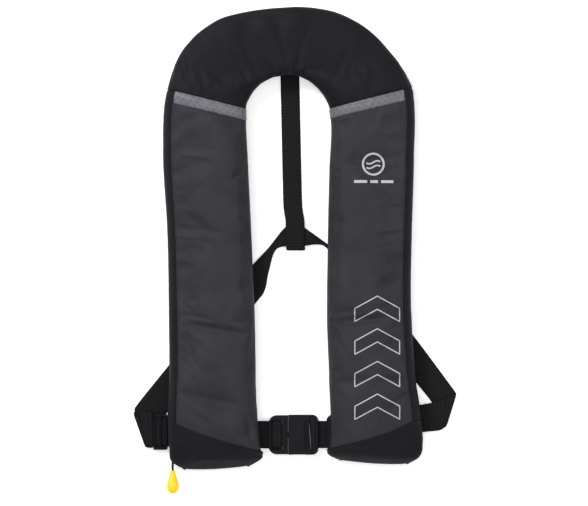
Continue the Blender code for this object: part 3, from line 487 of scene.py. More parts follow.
# soft folds of the fronts: x, y, angle (degrees), half length, half width, depth (mm)
FOLDS = (
    (-137, -177, -52, 15, 6, 2.2), (-111, -170, 18, 17, 6.5, 1.9),
    (-150, -190, -28, 13, 5, -1.5), (-61, -238, -76, 32, 4.5, 1.6),
    (-95, -212, 12, 24, 8, 1.5), (-128, -228, -20, 20, 7, 1.3),
    (-129, 63, 30, 17, 6, 1.5), (-136, -10, -24, 19, 5.5, 1.6),
    (-90, -95, 62, 26, 7, 1.3), (141, -177, 82, 26, 5, 1.6), (108, 19, -18, 19, 6, 1.6),
    (72, -17, 40, 16, 6, 1.2), (66, -150, -64, 24, 6, 1.3), (118, -62, 14, 20, 7, 1.3),
    (84, -226, 28, 20, 6, 1.2),
)
# collar creases: station, lean per mm from the neck, depth (mm)
CREASES = ((CENTRE - 0.16, -0.004, 1.7), (CENTRE + 0.22, 0.005, 1.3),
           (CENTRE - 2.6, 0.012, 1.9), (CENTRE - 3.4, 0.016, 1.2),
           (CENTRE + 3.1, -0.012, 1.2))


def wrinkle(grid, rows):
    """Folds and puckers that the simulated grid is too coarse to hold."""
    u, v = arc_lengths(grid)
    seam, neck = u[:, GUSSET:GUSSET + 1], u[:, BELLY:BELLY + 1]
    to_gusset = seam - u
    share = np.clip(to_gusset / (seam - neck), 0, 1)
    lift = 0.8 * noise_field(v / 95, u / 40) + 0.45 * noise_field(v / 28, u / 24, 3.0)
    # puckers that run in from the gusset seam, with a valley beside it
    phase = v / PUCKER * 2 * pi + 2.2 * noise_field(v / 70, u * 0, 5.0)
    bent = phase + 1.8 * np.clip(to_gusset, 0, 60) / 60
    strength = np.clip(0.65 + 0.9 * noise_field(v / 80, u * 0, 8.0), 0.1, 1.3)
    near = bell(np.clip(to_gusset - 7, 0, None), 16)
    lift += 1.15 * strength * np.sin(bent) * near * (to_gusset > 0)
    valley = bell(to_gusset - 22, 11)
    lift -= 0.9 * valley * (0.6 + 0.4 * noise_field(v / 60, u * 0, 9.0))
    # slanted waves, stronger near the hems
    slanted = noise_field(v / 38 + u / 150, u / 85, 21.0)
    low_end = bell(np.clip(np.minimum(rows - HEM_A, HEM_B - rows), 0, None), 2.2)
    slanted = np.clip(slanted, -0.5, 0.5) * bell(share - 0.42, 0.3)
    lift += (1.5 + 2.4 * low_end[:, None]) * slanted
    for hem, side in ((HEM_A, 1), (HEM_B, -1)):
        up = ((rows - hem) * side)[:, None]
        line = (1 - share) - 0.10 - 0.13 * up
        lift -= 1.5 * bell(line, 0.045) * bell(up - 0.7, 0.8)
    for x, y, angle, half_length, half_width, depth in FOLDS:
        dx, dy = grid[:, :, 0] - x, grid[:, :, 1] - y
        c, s = cos(radians(angle)), sin(radians(angle))
        far, off = (dx * c + dy * s) / half_length, (dy * c - dx * s) / half_width
        lift -= depth * np.exp(-far ** 2 - (off + 0.3 * far ** 2) ** 2)
    # gathers and creases of the collar, round the neck
    collar = np.clip(np.minimum(rows - TOP_A, TOP_B - rows) / 1.2, 0, 1)[:, None]
    from_neck = np.clip(u - neck, 0, None)
    around = (rows * 13.0)[:, None] + from_neck * 0.05
    folds = noise_field(around / 5.0, from_neck / 70, 11.0)
    lift += collar * 2.8 * folds * np.exp(-from_neck / 30) * (from_neck > 0)
    wide = noise_field(around / 13, from_neck / 90, 15.0)
    lift += collar * 2.6 * wide * bell(from_neck - 50, 45)
    for centre, lean, depth in CREASES:
        line = rows[:, None] - centre - lean * from_neck
        lift -= depth * bell(line, 0.13) * bell(from_neck - 38, 42, 4)
    lift -= collar * 0.25 * bell(to_gusset, 2.2)
    # calm along both outlines and at the hems' ends
    lift *= np.clip(np.minimum(rows, LAST - rows) / 1.4, 0, 1)[:, None]
    calm = np.maximum(bell(from_neck, 7), np.clip(-to_gusset / 10, 0, 1))
    return grid + normals_of(grid) * (lift * (1 - 0.85 * calm))[:, :, None]


def slack():
    """How freely each grid point may leave the cut shape: least along the outlines."""
    column = np.arange(BASE.shape[1])
    inside = np.clip((column - BELLY_COLUMN - 1) / 5, 0, 1)
    outside = np.clip((GUSSET_COLUMN - column) / 2, 0, 1)
    across = 0.06 + 0.94 * (3 * inside ** 2 - 2 * inside ** 3) * outside
    collar = (ROWS > TOP_A) & (ROWS < TOP_B)
    rounder = np.clip((BASE.shape[1] - 5 - column) / 6, 0, 1)
    across = np.where(collar[:, None], 0.06 + 0.7 * inside * rounder, across)
    hem = np.clip(np.minimum(ROWS - HEM_A, HEM_B - ROWS) / 0.5, 0.18, 1)[:, None]
    return (across * hem)[:, :, None]


# how far the hem seams sag below a straight line, across each front (share, mm)
SEAM_SAG = {HEM_A: ((0, 2.5), (0.25, 5.4), (0.5, 6.4), (0.8, 4.6), (1, 2.3)),
            HEM_B: ((0, 2.9), (0.35, 4.3), (0.7, 2.5), (0.9, -2.0), (1, -4.5))}
END_BULGE = {HEM_A: 2.2, HEM_B: 3.0}


def shape_hems(grid, rows):
    """Bow the hem seams, and round the lower ends of the lobes."""
    share = np.clip((np.arange(grid.shape[1]) - BELLY) / (GUSSET - BELLY), 0, 1)
    whole = np.linspace(0, 1, grid.shape[1])[None]
    out = grid.copy()
    for hem, sag in SEAM_SAG.items():
        end = 0 if hem == HEM_A else LAST
        from_end = np.abs(rows - end)
        away = np.where(from_end <= abs(hem - end), from_end / 3,
                        bell(rows - hem, 1.1))
        fade = (away ** 2 * (3 - 2 * away))[:, None] * (np.abs(rows - hem) < 5)[:, None]
        along = unit(np.gradient(grid, axis=0) * (-1 if hem == HEM_A else 1))
        out += along * (np.interp(share, *zip(*sag))[None] * fade)[:, :, None]
        near = (1 - np.clip(from_end / 2.2, 0, 1))[:, None] ** 2
        swell = END_BULGE[hem] * np.sin(pi * whole) ** 0.6 * near
        out[:, :, 1] -= swell - 2.8 * np.abs(2 * whole - 1) ** 6 * near
    return out


def make_cover_surface():
    grid = BASE
    grid = BASE + (capped(BASE, simulate_cover(BASE), 5.0) - BASE) * slack()
    rows = smooth(ROWS[:, None], np.arange(2 * len(ROWS) - 1) / 2)[:, 0]
    return shape_hems(wrinkle(refine(grid), rows), rows), rows


BASE = cover_grid()
COVER, COVER_ROWS = make_cover_surface()
COVER_NORMALS = normals_of(COVER)
COLUMNS = COVER.shape[1] - 1


def row_at(station):
    return int(np.argmin(np.abs(COVER_ROWS - station)))


def edge_in(points, normals, drop):
    """Rows near a panel's first row: the cloth turns down into its seam there."""
    first, second = points[0], points[1]
    lip = first - (second - first) * 0.1 - normals[0] * drop
    near = first + (second - first) * 0.3 - normals[0] * drop * 0.15
    return np.concatenate([[lip], [near], points[1:]]), \
        np.concatenate([[normals[0]], [normals[0]], normals[1:]])


def sub_grid(row_span, column_span, drop=1.0):
    r0, r1 = (row_at(s) for s in row_span)
    c0, c1 = column_span
    points = COVER[r0:r1 + 1, c0:c1 + 1]
    normals = COVER_NORMALS[r0:r1 + 1, c0:c1 + 1]
    for _ in range(2):
        for _ in range(2):
            points, normals = edge_in(points, normals, drop)
            points, normals = points[::-1], normals[::-1]
        points, normals = points.transpose(1, 0, 2), normals.transpose(1, 0, 2)
    return points, normals


def surface_object(name, points, mat, thickness=CLOTH_T):
    """Cloth of a given thickness (mm) under a grid of outer points."""
    obj = new_object(name, points.reshape(-1, 3), grid_faces(*points.shape[:2]), mat,
                     uv_grid(*arc_lengths(points)))
    mod = obj.modifiers.new("thickness", "SOLIDIFY")
    mod.thickness = thickness * MM
    mod.offset = -1.0
    mod.use_even_offset = False
    return obj


def cloth_sheet(obj, grid):
    """Work out the size and area of a sheet whose cut is a grid of points in mm, before it
    was wrinkled; they are not kept, and the object is returned unchanged.
    """
    grid = np.asarray(grid, float) * MM
    wide, long = (norm(np.diff(grid, axis=k), axis=2).sum(k).max() for k in (1, 0))
    a, b, c, d = grid[:-1, :-1], grid[1:, :-1], grid[1:, 1:], grid[:-1, 1:]
    area = 0.5 * norm(np.cross(c - a, d - b), axis=2).sum()
    return obj


def cut(row_span, column_span):
    """The part of the unwrinkled cover that a panel is cut from."""
    r0, r1 = (int(np.argmin(np.abs(ROWS - s))) for s in row_span)
    c0, c1 = (c // 2 for c in column_span)
    return BASE[r0:r1 + 1, c0:c1 + 1]


def closed_end(points, at_start):
    """Extra rows that fold a hem down to the back of the cover at its lower end."""
    end, near = (points[0], points[3]) if at_start else (points[-1], points[-4])
    away = unit((end - near) * (1, 1, 0))
    rows = []
    for out, share in ((0.9, 0.2), (1.2, 0.6), (0.9, 1.0)):
        row = end + away * out
        row[:, 2] = end[:, 2] * (1 - share) + np.minimum(end[:, 2], EDGE_Z) * share
        rows.append(row)
    return np.concatenate([rows[::-1], points] if at_start else [points, rows])


def cover_panel(name, row_span, column_span, mat, body, *nodes):
    points, _ = sub_grid(row_span, column_span)
    if row_span[0] == 0 or row_span[1] == LAST:
        points = closed_end(points, row_span[0] == 0)
    obj = place(surface_object(name, points, mat), body, mat, *nodes)
    return cloth_sheet(obj, cut(row_span, column_span))


def tape_piece(name, row_span, body, node):
    """Reflective tape lying on the panel's upper border, its cut edges turned down."""
    points, normals = sub_grid(row_span, (3, GUSSET - 1), 0.5)
    obj = surface_object(name, points + normals * 0.75, "reflective_grey", 0.5)
    place(obj, body, "reflective_grey", node)
    cloth_sheet(obj, points)


def make_cover():
    for side, main, hem, tape in (
            ("right", (HEM_A, TOP_A), (0, HEM_A), (TAPE_A, TOP_A)),
            ("left", (TOP_B, HEM_B), (HEM_B, LAST), (TOP_B, TAPE_B))):
        for part, rows, columns, mat, node in (
                ("front", main, (0, GUSSET), "cover_grey", "front_panel"),
                ("gusset", main, (GUSSET, COLUMNS), "cover_black", "side_gusset"),
                ("hem", hem, (0, COLUMNS), "cover_black", "hem_panel")):
            cover_panel(f"{side}_{part}_cloth", rows, columns, mat, f"{side}_flap",
                        f"{side}_{node}")
        tape_piece(f"{side}_tape", tape, f"{side}_flap", f"{side}_reflective_tape")
    cover_panel("collar_cloth", (TOP_A, TOP_B), (0, COLUMNS), "cover_black", "harness",
                "collar_cover")


# ---- stitching ----
def stitch_row(name, points, normals, body, mat="thread"):
    """A row of short thread stitches along a line of surface points (mm)."""
    run = run_of(points)
    verts, faces = [], []
    one = grid_faces(4, 5, closed=True) + [(4, 3, 2, 1, 0), (15, 16, 17, 18, 19)]
    sink = np.array((-0.15, 0.12, 0.12, -0.15))[:, None]
    thick = THREAD_R * np.array((0.5, 1, 1, 0.5))[:, None, None]
    for start in np.arange(STITCH_GAP, run[-1] - STITCH, STITCH + STITCH_GAP):
        marks = start + STITCH * np.array((0, 0.25, 0.75, 1))
        centre, up = (np.stack([np.interp(marks, run, line[:, k]) for k in range(3)], 1)
                      for line in (points, normals))
        up = unit(up)
        side = np.cross(up, unit(centre[3] - centre[0]))
        rings = (centre + up * sink)[:, None] + spokes(side, up, 5) * thick
        faces += [tuple(i + len(verts) for i in face) for face in one]
        verts += rings.reshape(-1, 3).tolist()
    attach(new_object(name, verts, faces, mat), body)


def cover_line(line, first, last, shift, column=False):
    """Points and normals along a grid row, or a column, shifted in mm to one side."""
    grid, normals = (a.transpose(1, 0, 2) if column else a for a in (COVER, COVER_NORMALS))
    span = slice(first, last + 1)
    points, beside = grid[line, span], grid[line + (1 if shift > 0 else -1), span]
    normals = normals[line, span]
    return points + unit(beside - points) * abs(shift) + normals * 0.1, normals


def make_stitches():
    for side, main, tape, away in (("right", (HEM_A, TOP_A), TAPE_A, 1),
                                   ("left", (TOP_B, HEM_B), TAPE_B, -1)):
        first, last = (row_at(station) for station in main)
        hem, top = (first, last)[::away]
        for label, *line in (
                ("gusset_stitch_a", GUSSET, first + 2, last - 2, 2.4, True),
                ("gusset_stitch_b", GUSSET, first + 2, last - 2, -2.4, True),
                ("hem_stitch_a", hem, 4, GUSSET - 2, -away * 2.2),
                ("hem_stitch_b", hem, 4, GUSSET - 2, -away * 4.4),
                ("tape_stitch_lower", row_at(tape), 5, GUSSET - 3, away * 1.8),
                ("tape_stitch_upper", top, 5, GUSSET - 3, -away * 2.6)):
            points, normals = cover_line(*line)
            taped = label.startswith("tape")
            stitch_row(f"{side}_{label}", points + normals * (0.75 if taped else 0), normals,
                       f"{side}_flap", "reflective_grey" if taped else "thread")
    for label, station, shift in (("right", TOP_A, 2.2), ("left", TOP_B, -2.2)):
        stitch_row(f"collar_stitch_{label}",
                   *cover_line(row_at(station), 4, COLUMNS - 4, shift), "harness")


# ---- straps ----
CUTS = {}                   # edges of each strip, by its name


def strap(name, stations, mat, body, nodes=(), thickness=WEB_T, step=3.0, across=10):
    """Webbing through pairs of edge points (mm), with soft selvedges and closed ends."""
    pairs = np.array(stations, float).reshape(len(stations), 6)
    middle = (pairs[:, :3] + pairs[:, 3:]) / 2
    dense = smooth(pairs, split_marks(norm(np.diff(middle, axis=0), axis=1), step))
    left, right = dense[:, :3], dense[:, 3:]
    centre, wide = (left + right) / 2, right - left
    normal = unit(np.cross(np.gradient(centre, axis=0), wide))
    shares = np.concatenate([np.linspace(0, 1, across), np.linspace(1, 0, across)])
    half = thickness / 2 * (1 - 0.75 * np.abs(2 * shares - 1) ** 10)
    half[across:] *= -1
    rings = (left[:, None] + wide[:, None] * shares[:, None]
             + normal[:, None] * half[:, None])
    CUTS[name] = np.stack([left, right], 1)
    uv = uv_grid(shares * norm(wide, axis=1)[:, None], run_of(centre)[:, None])
    return tube(name, rings, mat, body, nodes, uv)


# edges of the belt: x, y of one edge, x, y of the other, height (of both, or of each)
BELT = (
    (-73, -273, -73, -235, 3.7), (-150, -271.5, -150, -233.5, 3.7),
    (-186, -271.5, -186, -232.5, 3.7), (-193, -272, -208.6, -231, 3.7),
    (-194.6, -272.6, -210.2, -229.6, 3.2), (-195.2, -272.8, -210.7, -228.4, 2.225),
    (-194.6, -272.6, -210.2, -226.6, 1.25), (-193, -270, -208.6, -223.5, 0.75),
    (-185, -250, -205, -215, 0.75), (-119, -168, -148, -144.5, 0.75),
    (-55, -88.6, -82, -63, 0.75), (-40, -68.5, -54, -32.5, 1.0, 1.2),
    (-34, -42, -35, -12, 1.9, 2.0), (-24, -13.5, -13, 15, 2.4),
    (0, -10, -2, 16, 2.4), (12, -9.5, 9, 16.5, 2.4), (31, -7.5, 27, 4.5, 1.9, 3.2),
    (42.5, -13.5, 45, -8.5, 1.3, 3.8), (62, -42, 76, -28, 0.9, 2.4),
    (92, -98, 116, -80, 0.75, 0.9), (128, -150, 157, -129.5, 0.75),
    (179.4, -214.4, 204.5, -193, 0.75), (195.5, -241, 208.6, -199.5, 0.75),
    (197.3, -243.6, 210.2, -201, 1.25), (197.9, -244.4, 210.7, -202.2, 2.225),
    (197.3, -245.2, 210.2, -203.4, 3.2), (195.5, -246.6, 208, -204, 3.7),
    (188, -250.5, 184, -212.6, 3.7), (166, -253, 160, -217.5, 3.7),
    (100, -262.5, 96, -226.5, 3.7), (60, -268, 58, -232, 3.7),
)


def level_strap(name, path, low_y, high_y, body, node):
    """Strap that runs along X through (x, z) points between two y values."""
    strap(name, [(x, low_y, z, x, high_y, z) for x, z in path], "webbing_black", body,
          [node], 1.4, 1.6)


def make_straps():
    strap("belt_webbing", [(x0, y0, z[0], x1, y1, z[-1]) for x0, y0, x1, y1, *z in BELT],
          "webbing_black", "harness", ["waist_strap"])
    level_strap("buckle_webbing_left", [
        (-61, 3.7), (-40, 3.3), (-34, 3.1), (-18.4, 3.1), (-17.3, 3.8), (-17.1, 5.2),
        (-17.3, 7.0), (-18.6, 7.8), (-28.4, 7.8), (-29.7, 7.0), (-29.9, 5.2)],
        BUCKLE_Y - 18, BUCKLE_Y + 18, "buckle_tongue", "male_webbing")
    level_strap("buckle_webbing_right", [
        (58, 3.7), (34, 3.4), (29, 2.15), (22.6, 2.15), (20.4, 2.9), (19.4, 4.6),
        (20.4, 6.3), (22.6, 7.0), (29, 7.0)], BUCKLE_Y - 17.6, BUCKLE_Y + 18, "harness",
        "female_webbing")
    strap("belt_end", [(-193.2, -273, 5.5, -204.3, -226.5, 5.5),
                       (-189.4, -273, 5.6, -195.0, -226.5, 5.6),
                       (-185.6, -273, 5.5, -185.6, -226.5, 5.5)],
          "webbing_black", "adjuster", ["belt_tail"], step=1.6)
    half = 12.4
    path = [(-6.9, 238, 1.0), (-6.5, 205, 1.0), (-3.4, 60, 1.0), (-2.0, 36, 2.4),
            (0.0, 22, 4.2), (0.6, -6, 4.2), (0.8, -12.4, 3.8), (0.8, -14.6, 2.4),
            (0.8, -12.4, 0.9), (0.6, -6, 0.75), (0.0, 19, 0.75)]
    strap("back_webbing", [(x - half, y, z, x + half, y, z) for x, y, z in path],
          "webbing_black", "harness", ["back_strap"])
    # side; x of both ends; how far each end is shifted; y where the cloth rises and lies
    for side, (x0, x1), (shift0, shift1), *marks in (
            ("right", (-128, -86), (0, 0), -278, -276.5, -229, -227.5),
            ("left", (86, 128), (-1.8, 4.2), -271.5, -270, -218, -216.5)):
        name = f"belt_tunnel_cloth_{side}"
        edges = [(x0, y + shift0, z, x1, y + shift1, z)
                 for y, z in zip(marks, (4.55, 2.15, 2.15, 4.55))]
        tunnel = strap(name, edges, "cover_black", "harness", [f"{side}_belt_tunnel"], 0.7)
        cloth_sheet(tunnel, CUTS[name])
    low = THIN_TOP + 0.35 + 0.7
    path = [(-170, 0), (-110, 0), (-100.5, 1.4), (-98.0, 4.0), (-100.5, 6.6), (-110, 8.0),
            (-132, 5.6), (-142, 1.9), (-168, 1.9)]
    strap("lifting_becket", [(112, y, low + z, 131, y, low + z) for y, z in path],
          "webbing_black", "harness", ["lifting_loop"], 1.4)


# ---- pull cord ----
CORD_ROUTE = [
    (-137.82, -180.5, 17.0), (-138.0, -194.0, 16.2), (-140.2, -212.0, 14.2),
    (-146.0, -236.0, 11.4), (-153.2, -262.0, 9.3), (-158.0, -281.0, 8.7),
    (-159.5, -293.0, 8.6), (-159.5, -302.2, 8.6),
]
TOGGLE = [(0.0, 1.4), (0.3, 2.9), (2, 3.4), (6, 4.2), (11, 5.8), (16, 7.5), (20.5, 8.2),
          (24.5, 7.6), (27.8, 5.4), (29.7, 2.6), (30.3, 0.0)]


def revolve(origin, axis, points, sides, least):
    """Rings about an axis, from (distance along it, radius) points in mm."""
    axis = np.array(axis, float)
    side = unit(np.cross(axis, UP if abs(axis[2]) < 0.9 else ACROSS))
    radius = np.maximum(points[:, 1], least)[:, None, None]
    return (np.array(origin, float) + points[:, None, :1] * axis
            + radius * spokes(side, np.cross(side, axis), sides))


def make_cord():
    curve = bpy.data.curves.new("cord_line", "CURVE")
    curve.dimensions = "3D"
    curve.bevel_depth = 1.5 * MM
    curve.bevel_resolution = 4
    curve.use_fill_caps = True
    spline = curve.splines.new("POLY")
    points = smooth(CORD_ROUTE, np.linspace(0, len(CORD_ROUTE) - 1, 40)) * MM
    spline.points.add(len(points) - 1)
    for target, point in zip(spline.points, points):
        target.co = (*point, 1)
    cord = bpy.data.objects.new("cord_line", curve)
    bpy.context.scene.collection.objects.link(cord)
    curve.materials.append(MATERIALS["cord_black"])
    place(cord, "pull_handle", "cord_black", "pull_cord")
    last = len(TOGGLE) - 1
    rings = revolve((-159.5, -302.5, 8.6), (0, -1, 0),
                    smooth(TOGGLE, np.linspace(0, last, 6 * last + 1)), 48, 0.01)
    toggle = tube("toggle_drop", rings, "toggle_yellow", "pull_handle", ["pull_toggle"])
    length = float(norm(np.diff(points, axis=0), axis=1).sum())
    tuple(points[0])


# ---- back of the cover, lining, fastening strips and bladder ----
BLADDER_A, BLADDER_B = HEM_A + 0.74, HEM_B - 0.52
THIN_END = HEM_A + 2.72
SLACK = 9.0                 # how far the folded bladder lies under the cover's crown
PLEAT = 6.5                 # height of one folded layer of the bladder, mm
FOLD_R = 3.0                # easing of the bladder's corners, mm


def edge_line(marks, distance, z):
    """Line this far in from the neck side or, with a minus sign, from the outer side.

    The neck side is set back beside the hems, where a flap turns."""
    line = []
    for mark, inner, away, width, *_ in outline(marks):
        room = 6.0 * bell(min(mark, LAST - mark) - 1.7, 1.1)
        line.append((*(inner + away * (distance + (width if distance < 0 else room))), z))
    return np.array(line)


def band(name, marks, edges, z, thickness, mat, body, node, step=6.0, across=30):
    """Flat strip along the horseshoe between two edge lines."""
    pairs = np.stack([edge_line(marks, edge, z) for edge in edges], 1)
    return strap(name, pairs, mat, body, [node], thickness, step, across)


def edge_binding(name, distance, z, half, rise):
    """Folded tape round one edge of the cover's back."""
    centre = edge_line(np.linspace(0.9, LAST - 0.9, 150), distance, z)
    side = np.cross(unit(np.gradient(centre, axis=0)), UP)
    uv = uv_grid(np.arange(12) * 0.4 * pi, run_of(centre)[:, None])
    tube(name, centre[:, None] + spokes(side, UP, 12, half, rise), "webbing_black",
         "harness", uv=uv)


def make_back():
    back = band("back_cloth", np.linspace(0.45, LAST - 0.45, 169), (8.0, -4.5), 5.8, 1.6,
                "cover_black", "harness", "cover_back_panel")
    cloth_sheet(back, CUTS["back_cloth"])
    edge_binding("back_binding_inner", 10.2, 5.2, 3.4, 0.75)
    edge_binding("back_binding_outer", -6.5, 5.75, 3.6, 1.0)
    lining = band("neck_pad", np.linspace(TOP_A + 1, TOP_B - 1, 80), (14.0, -12.0), 3.5,
                  2.2, "cover_black", "harness", "collar_lining", across=20)
    for side, hem, tape, away in (("right", HEM_A, TAPE_A, 1), ("left", HEM_B, TAPE_B, -1)):
        marks = np.linspace(*sorted((hem + 1.42 * away, tape - 0.1 * away)), 40)
        for kind, z, body in (("loop", 7.3, "harness"), ("hook", 8.35, f"{side}_flap")):
            band(f"{side}_{kind}_tape", marks, (-16, -7), z, 0.7, "webbing_black", body,
                 f"{side}_{kind}_strip", 5.0, 8)


def bladder_ring(mark, inner, away, width, crown, _):
    """Outline of the folded bladder at one station: stacked layers with soft edges."""
    share = np.clip((min(mark, LAST - mark) - THIN_END) / 0.2, 0, 1)
    low, thin = EDGE_Z + 0.4, THIN_TOP - 0.4
    top = thin + (crown - SLACK - thin) * share
    height, reach = top - low, width - 28
    z = low + height * (0.5 - 0.5 * np.cos(np.linspace(0, pi, 26)))
    near = np.clip(FOLD_R - np.minimum(z - low, top - z), 0, None)
    ease = FOLD_R - np.sqrt(FOLD_R ** 2 - near ** 2)
    crease = (1 - np.abs(np.sin((z - low) / PLEAT * pi))) ** 1.3
    inset = ease + 2.6 * crease * min(1, height / 18)
    lean = np.sqrt(reach ** 2 - (z - low) ** 2) - reach
    right, left = width - 27 + lean - inset, 15 + inset
    base = np.linspace(left[0], right[0], 10)[1:-1]
    crest = np.linspace(right[-1], left[-1], 12)[1:-1]
    x = np.concatenate([base, right, crest, left[::-1]])
    z = np.concatenate([0 * base + low, z, 0 * crest + top, z[::-1]])
    return np.column_stack([inner + away * x[:, None], z])


def make_bladder():
    rings = np.array([bladder_ring(*row) for row in
                      outline(np.linspace(BLADDER_A, BLADDER_B, 190))])
    centre = rings.mean(1, keepdims=True)
    along, around = np.indices(rings.shape[:2])
    lumps = noise_field(along / 7.0, around / 9.0, 31.0)
    creases = np.abs(noise_field(along / 5.0 + around / 30.0, around / 16.0, 37.0))
    swollen = 0.975 + 0.02 * lumps + 0.03 * creases
    uv = uv_grid(np.arange(rings.shape[1]) * 3.4, run_of(centre[:, 0])[:, None])
    obj = tube("bladder_folds", centre + (rings - centre) * swollen[:, :, None],
               "bladder_yellow", "harness", ["bladder"], uv)


# ---- buckle and adjuster ----
def carve(obj, boxes):
    """Cut boxes, given by their corners in mm, out of a closed mesh."""
    tools = []
    for low, high in boxes:
        low, high = Vector(low) * MM, Vector(high) * MM
        bpy.ops.mesh.primitive_cube_add(size=1.0, location=(low + high) / 2)
        tool = bpy.context.object
        tool.scale = high - low
        tools.append(tool)
        mod = obj.modifiers.new("cut", "BOOLEAN")
        mod.operation = "DIFFERENCE"
        mod.object = tool
    bpy.context.view_layer.update()
    shown = obj.evaluated_get(bpy.context.evaluated_depsgraph_get())
    mesh = bpy.data.meshes.new_from_object(shown)
    obj.modifiers.clear()
    obj.data = mesh
    mesh.set_sharp_from_angle(angle=radians(32))
    for tool in tools:
        bpy.data.objects.remove(tool, do_unlink=True)
    return obj


def eased(start, end, count, power=0.5):
    """Numbers from start to end, closer together near both ends."""
    t = np.linspace(-1, 1, count)
    t = (1 - power) * t + power * np.sin(pi / 2 * t)
    return (start + end) / 2 + (end - start) / 2 * t


def moulding(name, xs, half, top, bottom, radius):
    """Closed moulded plate: half(x) is its half width, top(x, y) its upper face."""
    shares = eased(-1, 1, 81)
    grid_x = np.array(xs)[:, None] + shares[None] * 0
    halves = np.array([half(x) for x in xs])[:, None]
    grid_y = shares[None] * halves
    inside = np.minimum(halves - np.abs(grid_y),
                        np.minimum(grid_x - xs[0], xs[-1] - grid_x))
    near = np.clip(1 - inside / radius, 0, 1)
    fillet = radius * (1 - np.sqrt(np.clip(1 - near ** 2, 0, 1)))
    verts = [np.stack([grid_x, grid_y + BUCKLE_Y, z], 2).reshape(-1, 3)
             for z in (top(grid_x, grid_y) - fillet, bottom + 0.6 * fillet)]
    count = grid_x.size
    faces = grid_faces(*grid_x.shape)
    faces += [tuple(i + count for i in reversed(face)) for face in faces]
    index = np.arange(count).reshape(grid_x.shape)
    rim = np.concatenate([index[0], index[1:, -1], index[-1, -2::-1], index[-2:0:-1, 0]])
    faces += [(a, b, b + count, a + count)
              for a, b in zip(rim.tolist(), np.roll(rim, -1).tolist())]
    return new_object(name, np.vstack(verts), faces, "buckle_plastic")


def corner(x, edge, radius, half):
    """Half width near a rounded end at x = edge."""
    gap = abs(edge - x)
    if gap >= radius:
        return half
    return half - radius + sqrt(max(radius ** 2 - (radius - gap) ** 2, 0.01))


def lip_x(y):
    """Where the housing's raised end lip stops, at this distance from its middle."""
    return 20.2 - y / BUCKLE_HALF * 2.0 - (y / BUCKLE_HALF) ** 2 * 0.6


def plate_z(y):
    """Height of the housing's domed plate, chamfered along its long sides."""
    return 10.8 - 0.3 * (y / BUCKLE_HALF) ** 2 - 0.34 * np.clip(np.abs(y) - 18.6, 0, None)


def female_top(x, y):
    """Pressed plate with grip ribs, a raised end lip and a groove past it."""
    z = plate_z(y)
    for rib in (12.4, 14.7, 17.0):
        z -= 0.55 * bell(x - rib, 0.42) * (np.abs(y) < 19)
    past_lip = x - lip_x(y)
    z += 0.45 * bell(past_lip + 0.7, 0.5)
    z -= 1.5 * np.clip(past_lip / 1.2, 0, 1) ** 1.5
    z -= 0.5 * bell(x - 26.6, 0.45) * (np.abs(y) < 19)
    return np.minimum(z, 11.2)


def male_top(x, y):
    """Ladder end for the webbing, and the cross bar that meets the housing."""
    inner = np.abs(y) < 19.4
    z = np.full(x.shape, 10.3) - 0.28 * np.clip(np.abs(y) - 18.6, 0, None)
    z = np.where(inner & (x < -30.6), 6.9 + 0.5 * np.clip((x + 33.4) / 2, -1, 0), z)
    z = np.where(inner & (x > -30) & (x < -18), 6.6, z)
    return z - 0.5 * bell(x + 12.6, 0.4) * inner


def make_buckle():
    y, half = BUCKLE_Y, BUCKLE_HALF
    female = moulding("buckle_housing", eased(-8.75, 30.6, 130),
                      lambda x: corner(x, 30.6, 8.0, half), female_top, 0.2, 1.5)
    boxes = [((-12, y - 22.3, 2.3), (16, y + 22.3, 8.3)),
             ((17.8, y - 20, 1.2), (34, y + 20, 7.95)),
             ((-3, y - 30.5, 2.6), (14.5, y - 20.5, 7.9)),
             ((-3, y + 20.5, 2.6), (14.5, y + 30.5, 7.9))]
    place(carve(female, boxes), "harness", "buckle_plastic", "buckle_female")
    male = moulding("buckle_ladder", eased(-34.6, -8.95, 100),
                    lambda x: corner(x, -34.6, 11.0, half - 0.6), male_top, 0.4, 1.3)
    boxes = [((-45, y - 19.4, -3), (-15.6, y + 19.4, 4.3)),
             ((-30.5, y - 18.1, -3), (-28.6, y + 18.1, 20)),
             ((-18.9, y - 18.1, -3), (-16.5, y + 18.1, 20))]
    place(carve(male, boxes), "buckle_tongue", "buckle_plastic", "buckle_male")
    prong = moulding("buckle_prong", eased(-12, 13.5, 30), lambda x: corner(x, 13.5, 3, 3.5),
                     lambda x, _: 7.4 - np.clip(x - 9, 0, None) * 0.2, 3.6, 0.6)
    place(prong, "buckle_tongue", "buckle_plastic")
    # pale strip along the housing's lip: a painted highlight, light colour standing in for
    # light caught on the lip's edge
    dy = np.linspace(19.0, -22.5, 40)
    line = np.column_stack([lip_x(dy) - 0.6, y + dy, plate_z(dy) + 0.15])
    size = 0.42 * np.sqrt(np.clip(1 - ((dy + 1.75) / 20.9) ** 2, 0.02, 1))
    tube("buckle_lip_highlight_strip", line[:, None] + size[:, None, None] * spokes(ACROSS, UP, 8),
         "painted_lip_highlight", "harness", slot="buckle_plastic")


